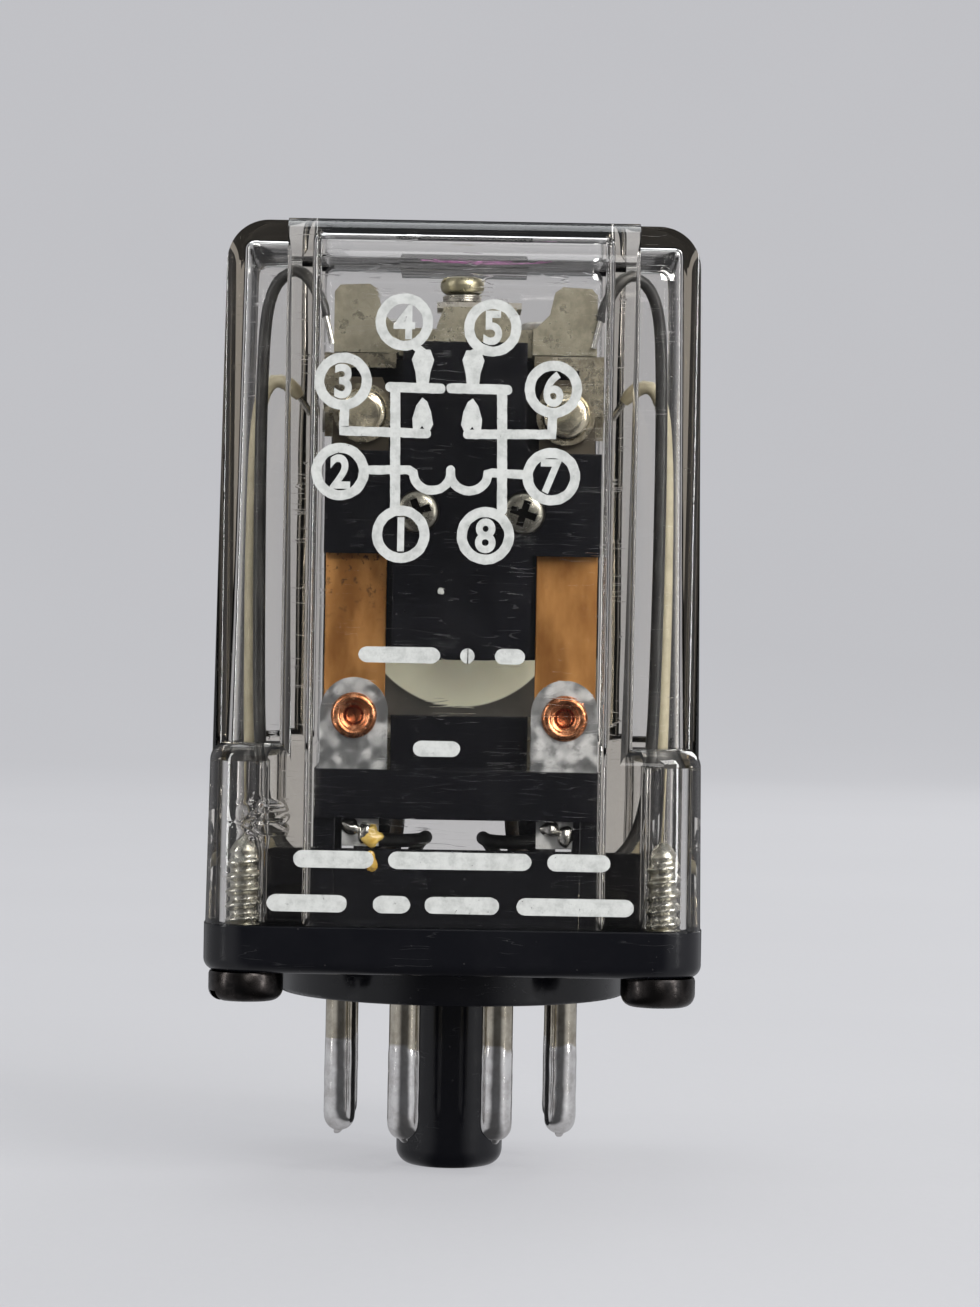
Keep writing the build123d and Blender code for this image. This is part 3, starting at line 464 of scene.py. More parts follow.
def pin_plate():
    """Nickel-plated pins, dipped in bright tin up to a wavering line below the disc."""
    g = Graph("pin_nickel")
    line = g.math("ADD", -3.5, g.remap(g.noise(2.6, 2), 0.3, 0.7, -0.35, 0.35))
    tinned = g.remap(g.math("SUBTRACT", g.height(), line), -0.12, 0.12, 1.0, 0.0)
    cloud = g.noise(1.3, 5, 0.65)
    nickel = g.mix(g.remap(cloud, 0.35, 0.7), (0.60, 0.56, 0.47), (0.40, 0.36, 0.29))
    tin = g.mix(g.remap(cloud, 0.3, 0.75), (0.92, 0.91, 0.90), (0.62, 0.60, 0.58))
    color = g.mix(tinned, nickel, tin)
    streak = g.noise(0.35, 3, 0.6, stretch=(1, 1, 9))
    rough = g.math("ADD", g.remap(cloud, 0.3, 0.8, 0.09, 0.2), g.remap(streak, 0.3, 0.8, -0.03, 0.06))
    normal = g.bump(cloud, 0.012)
    normal = g.bump(streak, 0.003, normal)
    return g.surface(g.principled(color=color, metallic=1.0, rough=rough, normal=normal))


def nylon():
    """Natural nylon bobbin: a cream front disc on a thinner, greyer flange, glowing faintly in its own colour
    as painted light.
    """
    g = Graph("nylon_natural")
    cloud = g.noise(4.0, 3, 0.5)
    cream = g.mix(g.remap(cloud, 0.3, 0.7), (0.88, 0.87, 0.68), (0.78, 0.76, 0.58))
    grey = g.mix(g.remap(cloud, 0.3, 0.7), (0.10, 0.09, 0.075), (0.055, 0.05, 0.042))
    across = g.math("SUBTRACT", g.axis(0), MECH_X)
    along = g.math("SUBTRACT", g.height(), COIL_Z)
    squares = g.math("ADD", g.math("MULTIPLY", across, across), g.math("MULTIPLY", along, along))
    disc = g.remap(squares, 7.35 ** 2, 7.5 ** 2, 1.0, 0.0)
    front = g.remap(g.axis(1), -4.55, -4.45, 1.0, 0.0)
    color = g.mix(g.math("MULTIPLY", disc, front), grey, cream)
    # Painted light: the bobbin glows faintly with its own colour, lifting the cream disc where the lamps
    # don't reach.
    shader = g.add(
        "BsdfPrincipled",
        {
            "Base Color": color,
            "Roughness": g.remap(cloud, 0.2, 0.8, 0.34, 0.48),
            "Emission Color": color,
            "Emission Strength": 0.07,
            "Subsurface Weight": 0.25,
            "Subsurface Scale": 0.0008,
            "Subsurface Radius": (1.0, 0.8, 0.5),
            "IOR": 1.53,
            "Normal": g.bump(g.noise(0.3, 2), 0.003),
        },
    ).outputs[0]
    return g.surface(shader)


def wrapped_tape(name, low, high, pitch):
    """Varnished cloth tape, wound with an overlap along the coil's own Y."""
    g = Graph(name)
    y = g.axis(1)
    turn = g.math("FRACT", g.math("DIVIDE", y, pitch))
    step = g.remap(turn, 0.0, 0.12)
    weave = g.noise(0.22, 1, stretch=(1, 1, 1))
    cloud = g.noise(2.5, 4)
    color = g.mix(g.remap(cloud, 0.3, 0.7), low, high)
    color = g.mix(g.remap(turn, 0.0, 0.06, 0.7, 0.0), color, [c * 0.3 for c in low])
    rough = g.remap(cloud, 0.2, 0.8, 0.35, 0.55)
    normal = g.bump(step, 0.05)
    normal = g.bump(weave, 0.006, normal)
    return g.surface(g.principled(color=color, rough=rough, normal=normal))


def wire_cover(name, low, high, rough_low, braid=0.0):
    """Insulation: extruded plastic, or varnished braid where braid is above zero."""
    g = Graph(name)
    cloud = g.noise(1.6, 4, 0.6)
    color = g.mix(g.remap(cloud, 0.3, 0.75), low, high)
    dust = g.dust(0.7, 0.08)
    color = g.mix(g.math("MULTIPLY", dust, 0.4), color, (0.4, 0.39, 0.36))
    rough = g.remap(cloud, 0.2, 0.8, rough_low, rough_low + 0.18)
    normal = g.bump(g.noise(0.5, 2), 0.008)
    if braid:
        threads = g.cells(braid, stretch=(1, 1, 1.6))
        normal = g.bump(threads, 0.03, normal)
        color = g.mix(g.remap(threads, 0.3, 0.7, 0, 0.4), color, [c * 0.4 for c in low])
    return g.surface(g.principled(color=color, rough=rough, normal=normal))


def solder():
    """Bright lead-tin solder, smooth with a few frosted patches."""
    g = Graph("solder")
    cloud = g.noise(0.7, 4, 0.6)
    color = g.mix(g.remap(cloud, 0.4, 0.7), (0.74, 0.73, 0.70), (0.42, 0.41, 0.38))
    rough = g.remap(cloud, 0.3, 0.8, 0.10, 0.3)
    return g.surface(g.principled(color=color, metallic=1.0, rough=rough, normal=g.bump(cloud, 0.02)))


def flux():
    """Amber rosin, glossy and half clear."""
    g = Graph("flux")
    cloud = g.noise(0.9, 3)
    color = g.mix(g.remap(cloud, 0.3, 0.7), (0.62, 0.36, 0.04), (0.86, 0.62, 0.18))
    rough = g.remap(cloud, 0.2, 0.8, 0.05, 0.15)
    normal = g.bump(cloud, 0.02)
    return g.surface(g.principled(color=color, rough=rough, ior=1.53, glass=0.45, normal=normal))


def marker_film():
    """Thin purple dye, broken and mostly see-through."""
    g = Graph("marker")
    patch = g.remap(g.noise(1.1, 4, 0.7), 0.36, 0.6, 0.0, 0.7)
    color = g.mix(g.noise(0.8, 2), (0.50, 0.16, 0.46), (0.66, 0.30, 0.62))
    dye = g.principled(color=color, rough=0.5)
    bare = g.add("BsdfTransparent").outputs[0]
    return g.surface(g.add("MixShader", {0: patch, 1: bare, 2: dye}).outputs[0])


def printed_ink():
    """White screen-printed ink: chalky, worn thin in small spots."""
    g = Graph("print_white")
    cloud = g.noise(0.8, 4, 0.7)
    color = g.mix(g.remap(cloud, 0.35, 0.75), (0.52, 0.53, 0.51), (0.36, 0.37, 0.355))
    normal = g.bump(g.noise(0.18, 3, 0.7), 0.015)
    ink = g.principled(color=color, rough=0.62, normal=normal)
    worn = g.remap(g.noise(0.32, 3, 0.75), 0.67, 0.71)
    bare = g.add("BsdfTransparent").outputs[0]
    return g.surface(g.add("MixShader", {0: worn, 1: ink, 2: bare}).outputs[0])


def pale_sheet():
    """The studio's plain paper sweep, which is dimmer where polished surfaces mirror it."""
    g = Graph("studio_paper")
    cloud = g.noise(60, 3)
    color = g.mix(cloud, (0.150, 0.151, 0.155), (0.17, 0.171, 0.175))
    normal = g.bump(g.noise(1.2, 4), 0.05)
    inputs = {
        "Base Color": color,
        "Roughness": 0.85,
        "Normal": normal,
        "Specular IOR Level": 0.2,
        "Emission Color": (0.955, 0.955, 1.0, 1),
        "Emission Strength": 0.43,
    }
    paper = g.add("BsdfPrincipled", inputs).outputs[0]
    dim = g.add("BsdfDiffuse", {"Color": (0.03, 0.03, 0.032)}).outputs[0]
    bounces = g.add("LightPath").outputs["Glossy Depth"]
    flat = g.add("VectorMath", {0: g.place, 1: (1, 1, 0)}, operation="MULTIPLY").outputs[0]
    reach = g.add("VectorMath", {0: flat}, operation="LENGTH").outputs["Value"]
    turned = g.math("DIVIDE", g.math("ABSOLUTE", g.axis(0)), g.math("MULTIPLY", reach, 1 / MM))
    sides = g.remap(turned, 0.3, 0.75, 0.93, 0.25)
    share = g.math("MULTIPLY", g.math("MINIMUM", bounces, 1.0), sides)
    return g.surface(g.add("MixShader", {0: share, 1: paper, 2: dim}).outputs[0])


MATERIALS = {
    "cover_clear": clear_cover(),
    "phenolic_black": black_moulding("phenolic_black"),
    "screw_black": screw_steel(),
    "pin_nickel": pin_plate(),
    "yoke_steel": plated("yoke_steel", (0.36, 0.335, 0.26), (0.16, 0.145, 0.11), 0.24, 0.8, 0.5),
    "core_iron": plated("core_iron", (0.42, 0.40, 0.37), (0.20, 0.18, 0.15), 0.32, 0.6),
    "screw_zinc": plated("screw_zinc", (0.50, 0.49, 0.46), (0.24, 0.22, 0.19), 0.26, 0.7),
    "copper": copper(),
    "nylon_natural": nylon(),
    "coil_tape": wrapped_tape("coil_tape", (0.16, 0.11, 0.045), (0.30, 0.21, 0.09), 3.1),
    "spring_steel": plated("spring_steel", (0.48, 0.46, 0.42), (0.2, 0.18, 0.15), 0.24, 0.5),
    "tinned_brass": tinned_tab(),
    "strip_bronze": bronze_strip(),
    "bracket_nickel": plated("bracket_nickel", (0.34, 0.31, 0.24), (0.10, 0.085, 0.06), 0.2, 0.9),
    "contact_silver": plated("contact_silver", (0.84, 0.78, 0.62), (0.56, 0.46, 0.28), 0.10, 0.4, 1.5),
    "lead_black": wire_cover("lead_black", (0.012, 0.012, 0.013), (0.03, 0.03, 0.03), 0.3),
    "lead_beige": wire_cover("lead_beige", (0.30, 0.27, 0.19), (0.40, 0.36, 0.26), 0.4),
    "sleeve_brown": wire_cover("sleeve_brown", (0.035, 0.022, 0.012), (0.07, 0.045, 0.02), 0.35, 0.35),
}
MATERIALS["screw_olive"] = plated("screw_olive", (0.40, 0.37, 0.26), (0.20, 0.18, 0.12), 0.28, 0.7)
MATERIALS["screw_grey"] = recessed_steel()
MATERIALS["solder"] = solder()
MATERIALS["flux"] = flux()
MATERIALS["marker"] = marker_film()
INK = printed_ink()
PAPER = pale_sheet()


def dress_cad_nodes():
    """Each CAD node takes the finished material of its slot."""
    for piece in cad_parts.values():
        for holder in piece.material_slots:
            name = holder.material.name.split(".")[0]
            holder.material = MATERIALS[name]


# ---------------------------------------------------------------- printed diagram
INK_LIFT = 0.008
INK_H = 0.03
STROKE = 0.70


def front_y(z, lift=0.0):
    """The cover's front face at a height, in millimetres."""
    return -(COVER_HALF - (z - PLATE_TOP) * DRAFT) - lift


class Print:
    """Flat ink shapes on the cover's front face, each a thin closed slab."""

    def __init__(self, seed):
        self.shapes = []
        self.random = random.Random(seed)

    def slab(self, outline, holes=()):
        """An outline in X and Z, with a ring-shaped hole if one is given, as a thin slab."""
        lift = INK_LIFT + 0.0004 * len(self.shapes)
        near = [(x, front_y(z, lift + INK_H), z) for x, z in outline]
        far = [(x, front_y(z, lift), z) for x, z in outline]
        if holes:
            inner_near = [(x, front_y(z, lift + INK_H), z) for x, z in holes]
            inner_far = [(x, front_y(z, lift), z) for x, z in holes]
            points, faces = skin([far, near, inner_near, inner_far, far], caps=False)
            self.shapes.append((points, faces))
        else:
            self.shapes.append(skin([far, near]))

    def rough(self, x, z):
        """A point moved a little, so that the ink's edge isn't perfect."""
        shift = noise.noise_vector(Vector((x * 3.1, z * 3.1, 0.7))) * 0.035
        return x + shift.x, z + shift.y

    def ring(self, x, z, outer, width, steps=72):
        angles = [-2 * math.pi * i / steps for i in range(steps)]
        outline = [self.rough(x + outer * math.cos(a), z + outer * math.sin(a)) for a in angles]
        inner = outer - width
        hole = [self.rough(x + inner * math.cos(a), z + inner * math.sin(a)) for a in angles]
        self.slab(outline, hole)

    def stroke(self, points, width=STROKE):
        """A line of even width with round ends and joints, as one outline."""
        half = width / 2
        fine = [Vector(points[0])]
        for a, b in zip(points, points[1:]):
            a, b = Vector(a), Vector(b)
            steps = max(1, round((b - a).length / 0.3))
            fine += [a.lerp(b, (i + 1) / steps) for i in range(steps)]
        start, end = (fine[1] - fine[0]).normalized(), (fine[-1] - fine[-2]).normalized()
        quarter = [math.pi / 2 * k / 6 for k in range(1, 6)]
        spots = [(fine[0] - start * half * math.sin(a), start, math.cos(a)) for a in reversed(quarter)]
        for i, place in enumerate(fine):
            ahead = (fine[min(i + 1, len(fine) - 1)] - fine[max(i - 1, 0)]).normalized()
            before = (place - fine[max(i - 1, 0)]).normalized() if i else ahead
            spots.append((place, ahead, 1 / max(0.7, before.dot(ahead))))
        spots += [(fine[-1] + end * half * math.sin(a), end, math.cos(a)) for a in quarter]
        lift = INK_LIFT + 0.0004 * len(self.shapes)
        rings = []
        for place, ahead, share in spots:
            side = Vector((-ahead.y, ahead.x)) * half * share
            left, right = self.rough(*(place + side)), self.rough(*(place - side))
            corners = ((left, 0), (left, INK_H), (right, INK_H), (right, 0))
            rings.append([(x, front_y(z, lift + h), z) for (x, z), h in corners])
        self.shapes.append(skin(rings))

    def shape(self, outline):
        self.slab([self.rough(*p) for p in outline])

    def bar(self, x0, x1, z, height):
        """One ruled bar with rounded ends."""
        r = height / 2
        right = arc((x1 - r, z), r, 90, -90, 8)
        left = arc((x0 + r, z), r, 270, 90, 8)
        self.shape(right + left)

    def digit(self, text, x, z, size):
        """A numeral with bold strokes, centred on a point."""
        curve = bpy.data.curves.new("numeral", "FONT")
        curve.body = text
        curve.size = size
        curve.offset = 0.035 * size
        curve.extrude = INK_H / 2
        curve.align_x = "CENTER"
        curve.align_y = "CENTER"
        curve.resolution_u = 6
        holder = bpy.data.objects.new("numeral", curve)
        mesh = bpy.data.meshes.new_from_object(holder)
        xs = [v.co.x for v in mesh.vertices]
        ys = [v.co.y for v in mesh.vertices]
        middle = ((max(xs) + min(xs)) / 2, (max(ys) + min(ys)) / 2)
        points = []
        for v in mesh.vertices:
            pz = z + v.co.y - middle[1]
            px = x + (v.co.x - middle[0]) * 0.9
            points.append((px, front_y(pz, INK_LIFT + INK_H / 2 + v.co.z), pz))
        faces = [tuple(p.vertices) for p in mesh.polygons]
        self.shapes.append((points, faces))
        bpy.data.objects.remove(holder)
        bpy.data.meshes.remove(mesh)

    def piece(self, name):
        points, faces = join(*self.shapes)
        return mesh_piece(name, points, faces, INK, "cover_clear", sharp=30)


PIN_MARKS = {
    "1": (-4.1, 33.3),
    "2": (-8.4, 37.6),
    "3": (-8.3, 43.9),
    "4": (-4.1, 48.1),
    "5": (2.07, 47.8),
    "6": (6.37, 43.6),
    "7": (6.33, 37.5),
    "8": (1.8, 33.3),
}
RING_R = 2.0
RING_W = 0.70


def wiring_diagram():
    """The pin diagram: eight numbered rings, two changeover contacts and the coil."""
    ink = Print(5)
    for text, (x, z) in PIN_MARKS.items():
        ink.ring(x, z, RING_R, RING_W)
        ink.digit(text, x, z, 3.15)
    sides = (
        (-1, -4.65, (-5.0, -1.5), -2.75, -8.2, "1", "3", "4"),
        (1, 2.8, (-0.75, 3.15), 0.75, 6.3, "8", "6", "5"),
    )
    for side, common_x, bar_x, fixed_x, end_x, foot, ring, top in sides:
        ink.stroke([(bar_x[0], 43.55), (bar_x[1], 43.5)])
        foot_z = PIN_MARKS[foot][1]
        ink.stroke([(common_x, 43.4), (common_x + 0.12, foot_z + RING_R - 0.2)])
        wedge = [(-0.42, 43.8), (0.42, 43.8), (0.52, 44.6), (0.78, 45.5), (0.5, 46.2), (-0.5, 46.2)]
        wedge += [(-0.78, 45.5), (-0.52, 44.6)]
        ink.shape([(fixed_x + x, z) for x, z in wedge])
        top_x, top_z = PIN_MARKS[top]
        ink.stroke([(fixed_x, 46.0), ((fixed_x + top_x) / 2, top_z - 1.6)], 0.55)
        drop = [(0.0, 42.85), (-0.42, 42.3), (-0.68, 41.4), (-0.62, 40.7), (-0.2, 40.6), (0.0, 40.9)]
        drop += [(0.45, 40.3), (0.78, 41.0), (0.62, 41.9), (0.32, 42.6)]
        ink.shape([(fixed_x - side * x, z) for x, z in drop])
        ring_z = PIN_MARKS[ring][1]
        line = [(fixed_x - side * 0.3, 40.35), (end_x, 40.45), (end_x + 0.05, ring_z - RING_R + 0.2)]
        ink.stroke(line, 0.66)
    turns = [math.pi * i / 14 for i in range(15)]
    loops = [
        [(centre - radius * math.cos(a), 37.6 - 1.2 * math.sin(a)) for a in turns]
        for centre, radius in ((-2.0, 1.3), (0.6, 1.3))
    ]
    ink.stroke([(-6.5, 37.75), (-3.6, 37.8)] + loops[0] + [(-0.7, 37.85)], 0.62)
    ink.stroke([(-0.7, 37.85)] + loops[1] + [(2.2, 37.7), (4.5, 37.6)], 0.62)
    return ink.piece("printed_diagram")


def ruled_rows():
    """Plain ruled bars where such a relay carries its type and rating."""
    ink = Print(9)
    rows = (
        (24.9, 1.1, ((-6.9, -1.2), (0.2, 1.2), (2.6, 4.7))),
        (18.4, 1.1, ((-3.0, 0.3),)),
        (10.6, 1.2, ((-11.2, -5.6), (-4.6, 5.4), (6.5, 10.9))),
        (7.5, 1.2, ((-13.0, -7.4), (-5.6, -3.0), (-2.0, 3.2), (4.4, 12.6))),
    )
    for z, height, bars in rows:
        for x0, x1 in bars:
            ink.bar(x0, x1, z, height)
    return ink.piece("printed_rows")


# ---------------------------------------------------------------- fasteners and pins
def cover_screw(x, y):
    """A pan-head screw, head down, with a real helical thread in the moulded boss."""
    crest, root, pitch, turns = 1.47, 1.12, 1.0, 5.2
    segments, per_turn = 48, 14
    rings = []
    rows = round(turns * per_turn)
    for row in range(rows + 1):
        z = PLATE_TOP + pitch * turns * row / rows
        ring = []
        for i in range(segments):
            angle = 2 * math.pi * i / segments
            phase = (z / pitch - angle / (2 * math.pi)) % 1
            flank = min(1, max(0, (abs(phase - 0.5) * 2 - 0.12) / 0.6))
            fade = min(1, (rows - row) / per_turn)
            r = crest - (crest - root) * flank - (crest - root) * (1 - fade) * (1 - flank)
            ring.append((r * math.cos(angle), r * math.sin(angle), z))
        rings.append(ring)
    top = PLATE_TOP + pitch * turns
    for r, rise in ((0.8, 0.5), (0.3, 0.9)):
        steps = [2 * math.pi * i / segments for i in range(segments)]
        rings.append([(r * math.cos(a), r * math.sin(a), top + rise) for a in steps])
    shank = skin(rings)
    head = [(0.0, 0.42), (1.4, 0.45)] + arc((1.75, 1.32), 0.88, -90, 0, 8) + [(2.63, 2.3), (2.55, 2.5)]
    head += [(1.44, 2.5), (1.44, PLATE_TOP)]
    body = lathe(head)
    return moved(join(body, shank), Matrix.Translation((x, y, 0)))


def carve(piece, boxes):
    """Cuts boxes that don't touch each other out of a piece."""
    points, faces = join(*boxes)
    mesh = bpy.data.meshes.new("cutter")
    mesh.from_pydata([Vector(p) * MM for p in points], [], faces)
    cutter = bpy.data.objects.new("cutter", mesh)
    bpy.context.scene.collection.objects.link(cutter)
    cut = piece.modifiers.new("slots", "BOOLEAN")
    cut.operation = "DIFFERENCE"
    cut.solver = "EXACT"
    cut.object = cutter
    bpy.context.view_layer.update()
    graph = bpy.context.evaluated_depsgraph_get()
    done = bpy.data.meshes.new_from_object(piece.evaluated_get(graph))
    piece.modifiers.clear()
    piece.data = done
    done.set_sharp_from_angle(angle=math.radians(35))
    bpy.data.objects.remove(cutter)


def slotted(name, shapes, rounds, material, slot_name, node, body=RELAY):
    """One piece in a CAD node's place, from turned shapes with slots cut through their heads."""
    points, faces = join(*shapes)
    piece = mesh_piece(name, points, faces, material, slot_name, body, sharp=35)
    for boxes in rounds:
        carve(piece, boxes)
    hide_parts(node)
    return piece


def brick(low, high):
    """A box's points and faces."""
    points = [(x, y, z) for z in (low[2], high[2]) for x, y in (
        (low[0], low[1]), (high[0], low[1]), (high[0], high[1]), (low[0], high[1]))]
    rings = [points[:4], points[4:]]
    return skin(rings)


def cover_screws():
    shapes, slots = [], []
    for k, (x, y) in enumerate([(x * BOSS_XY, y * BOSS_XY) for x in (-1, 1) for y in (-1, 1)]):
        shapes.append(cover_screw(x, y))
        turn = Matrix.Translation((x, y, 0)) @ Matrix.Rotation(0.5 + 1.3 * k, 4, "Z")
        slots.append(moved(brick((-3, -0.42, 0.2), (3, 0.42, 1.15)), turn))
    slotted("cover_screw_set", shapes, [slots], MATERIALS["screw_black"], "screw_black", "cover_screws")


def contact_pins():
    """Eight hollow pins: thicker where they were dipped in solder, with a nib at the tip."""
    for number in range(1, 9):
        low, high = node_box(f"pin_{number}")
        x, y = (low.x + high.x) / 2, (low.y + high.y) / 2
        tip, top = low.z, high.z
        seed = Vector((number * 3.7, 1.3, 0.2))
        segments = 40
        profile = [(0.02, tip + 0.1), (0.16, tip + 0.12), (0.27, tip + 0.24), (0.33, tip + 0.42)]
        profile += arc((0.0, tip + 1.46), 1.12, -70, 0, 12)
        z = tip + 1.7
        while z < -2.2:
            dipped = 0.5 - 0.5 * math.tanh((z + 3.6) * 4)
            profile.append((1.115 + 0.03 * dipped, z))
            z += 0.3
        profile += [(1.115, -0.01), (1.34, 0.0), (1.34, top - 1.0), (1.52, top - 0.98), (1.54, top - 0.7)]
        profile += [(1.33, top - 0.66), (1.33, top - 0.1), (1.25, top), (0.72, top), (0.7, top - 1.2)]
        profile += [(0.02, top - 1.3)]
        rings = []
        for r, height in profile:
            ring = []
            for i in range(segments):
                angle = 2 * math.pi * i / segments
                place = Vector((math.cos(angle), math.sin(angle), height * 0.8))
                lumps = noise.noise(place * 1.4 + seed)
                wobble = 0.02 * lumps if tip + 0.4 < height < -3.2 else 0.0
                if height <= tip + 0.43:
                    wobble = 0.12 * lumps * r
                shift = 0.5 * max(0.0, tip + 0.5 - height)
                rr = r * (1 + wobble)
                ring_x = x + rr * math.cos(angle) + shift * math.sin(seed.x)
                ring.append((ring_x, y + rr * math.sin(angle), height))
            rings.append(ring)
        points, faces = skin(rings)
        name, material = f"plug_pin_{number}", MATERIALS["pin_nickel"]
        piece = mesh_piece(name, points, faces, material, "pin_nickel", sharp=50)
        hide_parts(f"pin_{number}")


def eyelets():
    """Rolled copper eyelets that clinch each strip to its tab."""
    for side in ("left", "right"):
        low, high = node_box(f"common_rivet_{side}")
        x, z = (low.x + high.x) / 2, (low.z + high.z) / 2
        front = low.y
        profile = [(0.02, -0.62), (0.42, -0.6), (0.6, -0.5), (0.66, -0.34), (0.8, -0.26), (0.9, -0.2)]
        profile += arc((1.27, -0.38), 0.37, 150, 0, 14)
        profile += [(1.62, -0.46), (1.0, -0.5), (0.98, -0.95), (1.45, -1.0), (1.45, -1.15), (0.9, -1.2)]
        profile += [(0.02, -1.2)]
        shape = lathe(profile, 56)
        points, faces = moved(shape, facing((0, -1, 0), (x, front, z)))
        piece = mesh_piece(f"eyelet_{side}", points, faces, MATERIALS["copper"], "copper", sharp=60)
        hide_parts(f"common_rivet_{side}")


def copper_strips():
    """The thin strips from the tabs up to the moving blades, each left free of any body."""
    for side, middle in (("left", MECH_X - TAB_X), ("right", MECH_X + TAB_X)):
        low, high = node_box(f"flex_strip_{side}")
        half = (high.x - low.x) / 2
        bottom = low.z + half
        rings = []
        steps = 60
        for i in range(steps + 1):
            z = low.z + 0.02 + (high.z - low.z - 0.02) * i / steps
            inside = min(1.0, max(0.0, (bottom - z) / half))
            w = max(0.15, half * math.sqrt(max(0.0, 1 - inside * inside)))
            corner = min(0.05, w / 3)
            bow = 0.02 * math.sin(math.pi * i / steps)
            front, back = low.y + 0.005 + bow, high.y - 0.015 + bow
            section = [(-w + corner, front), (w - corner, front), (w, front + 0.05), (w, back - 0.05)]
            section += [(w - corner, back), (-w + corner, back), (-w, back - 0.05), (-w, front + 0.05)]
            rings.append([(middle + x, y, z) for x, y in section])
        points, faces = skin(rings)
        material = MATERIALS["strip_bronze"]
        piece = mesh_piece(f"copper_strip_{side}", points, faces, material, "strip_bronze", None, 30)
        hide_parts(f"flex_strip_{side}")
        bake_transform(piece)


def cross_screws():
    """The carrier's two screws: low domed heads with a cross recess."""
    low, high = node_box("carrier_screws")
    front, z = low.y, (low.z + high.z) / 2
    shapes, cuts = [], []
    for k, x in enumerate((low.x + 1.6, high.x - 1.6)):
        profile = [(0.88, -4.9), (0.88, -1.0), (1.52, -1.0), (1.56, -0.86), (1.56, -0.66)]
        profile += [(1.50, -0.42), (1.34, -0.22), (1.05, -0.08), (0.6, -0.01), (0.02, 0.0)]
        place = facing((0, -1, 0), (x, front, z))
        shapes.append(moved(lathe([(0.02, -4.9)] + profile), place))
        for quarter in (0, 1):
            turn = place @ Matrix.Rotation(0.35 + 0.9 * k + quarter * math.pi / 2, 4, "Z")
            cuts.append(moved(brick((-0.95, -0.26, -0.85), (0.95, 0.26, 0.5)), turn))
    material = MATERIALS["screw_grey"]
    rounds = (cuts[0::2], cuts[1::2])
    slotted("carrier_screw_pair", shapes, rounds, material, "screw_zinc", "carrier_screws", ARMATURE)


def coil_spring():
    """The return spring: three turns of wire."""
    low, high = node_box("return_spring")
    x, y = (low.x + high.x) / 2, (low.y + high.y) / 2
    wire = 0.11
    radius = (high.x - low.x) / 2 - wire
    turns = 3
    steps = 36 * turns
    path = []
    for i in range(steps + 1):
        angle = 2 * math.pi * turns * i / steps
        z = low.z + wire + (high.z - low.z - 2 * wire) * i / steps
        path.append(Vector((x + radius * math.cos(angle), y + radius * math.sin(angle), z)))
    points, faces = tube(path, wire, 12)
    piece = mesh_piece("coil_spring", points, faces, MATERIALS["spring_steel"], "spring_steel")
    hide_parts("return_spring")
    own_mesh(piece)


def adjuster():
    """The armature's adjusting screw: a rounded brass-coloured head, worn and tarnished."""
    low, high = node_box("adjusting_screw")
    x, y = (low.x + high.x) / 2, (low.y + high.y) / 2
    top = high.z
    profile = [(0.02, low.z), (0.78, low.z), (0.78, top - 1.3), (1.25, top - 1.28), (1.5, top - 1.1)]
    profile += [(1.6, top - 0.75), (1.57, top - 0.4), (1.4, top - 0.16), (1.05, top - 0.04), (0.02, top)]
    head = moved(lathe(profile), Matrix.Translation((x, y, 0)))
    turn = Matrix.Translation((x, y, 0)) @ Matrix.Rotation(0.5, 4, "Z")
    slot = moved(brick((-2, -0.22, top - 0.5), (2, 0.22, top + 0.5)), turn)
    slotted("adjuster_screw", [head], [[slot]], MATERIALS["screw_olive"], "screw_zinc", "adjusting_screw")


# Lead routes on the right-hand side; the left-hand leads mirror them about X = 0.
LEAD_ROUTES = {
    "nc_lead": (
        "lead_black", 0.44, 5,
        [(9.3, -10.15, 46.9), (10.0, -10.0, 50.2), (11.8, -9.3, 52.4), (13.8, -8.2, 51.2),
         (14.4, -7.5, 46.5), (14.4, -7.1, 30.0), (14.1, -6.8, 14.5), (11.8, -6.9, 9.6), (5.4, -8.3, 9.2)],
    ),
    "no_lead": (
        "lead_beige", 0.5, 6,
        [(10.9, -4.2, 42.0), (12.4, -4.9, 44.6), (14.4, -5.4, 44.4), (15.0, -5.4, 39.0),
         (15.0, -5.3, 25.0), (14.8, -5.0, 14.0), (12.6, -4.0, 9.6)],
    ),
    "coil_lead": (
        "sleeve_brown", 0.5, 7,
        [(4.05, -4.1, 20.2), (4.05, -4.55, 18.0), (4.05, -4.55, 12.4), (4.6, -3.0, 10.1), (7.6, 1.2, 9.6)],
    ),
    "common_lead": (
        "lead_black", 0.5, 8,
        [(7.3, -9.85, 12.3), (6.2, -8.3, 11.5), (2.6, -5.2, 11.3), (2.0, 1.5, 11.3), (2.5, 6.2, 10.8)],
    ),
}
PIN_TOP = 7.2
LEAD_DROP = 2.2


def lead_end(share):
    """Narrows a lead's cover where it was stripped, at either end."""
    return 1 - 0.28 * max(0, 1 - share / 0.012) - 0.28 * max(0, 1 - (1 - share) / 0.012)


def leads():
    """Insulated leads with bare tinned ends, each down into the bore of its pin."""
    for name, (slot, radius, pin, route) in LEAD_ROUTES.items():
        low, high = node_box(f"pin_{pin}")
        pin_x, pin_y = abs((low.x + high.x) / 2), (low.y + high.y) / 2
        points = [Vector(p) for p in route]
        points += [Vector((pin_x, pin_y, PIN_TOP + LEAD_DROP)), Vector((pin_x, pin_y, PIN_TOP))]
        for side, sign in (("left", -1), ("right", 1)):
            path = smooth_path([(sign * p.x, p.y, p.z) for p in points], 90)
            sleeve = tube(path[3:-4], radius, 20, lead_end)
            wire = tube(path, radius * 0.5, 14)
            piece = mesh_piece(f"{name}_cover_{side}", *sleeve, MATERIALS[slot], slot)
            mesh_piece(f"{name}_wire_{side}", *wire, MATERIALS["solder"], "tinned_brass")
            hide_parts(f"{name}_{side}")


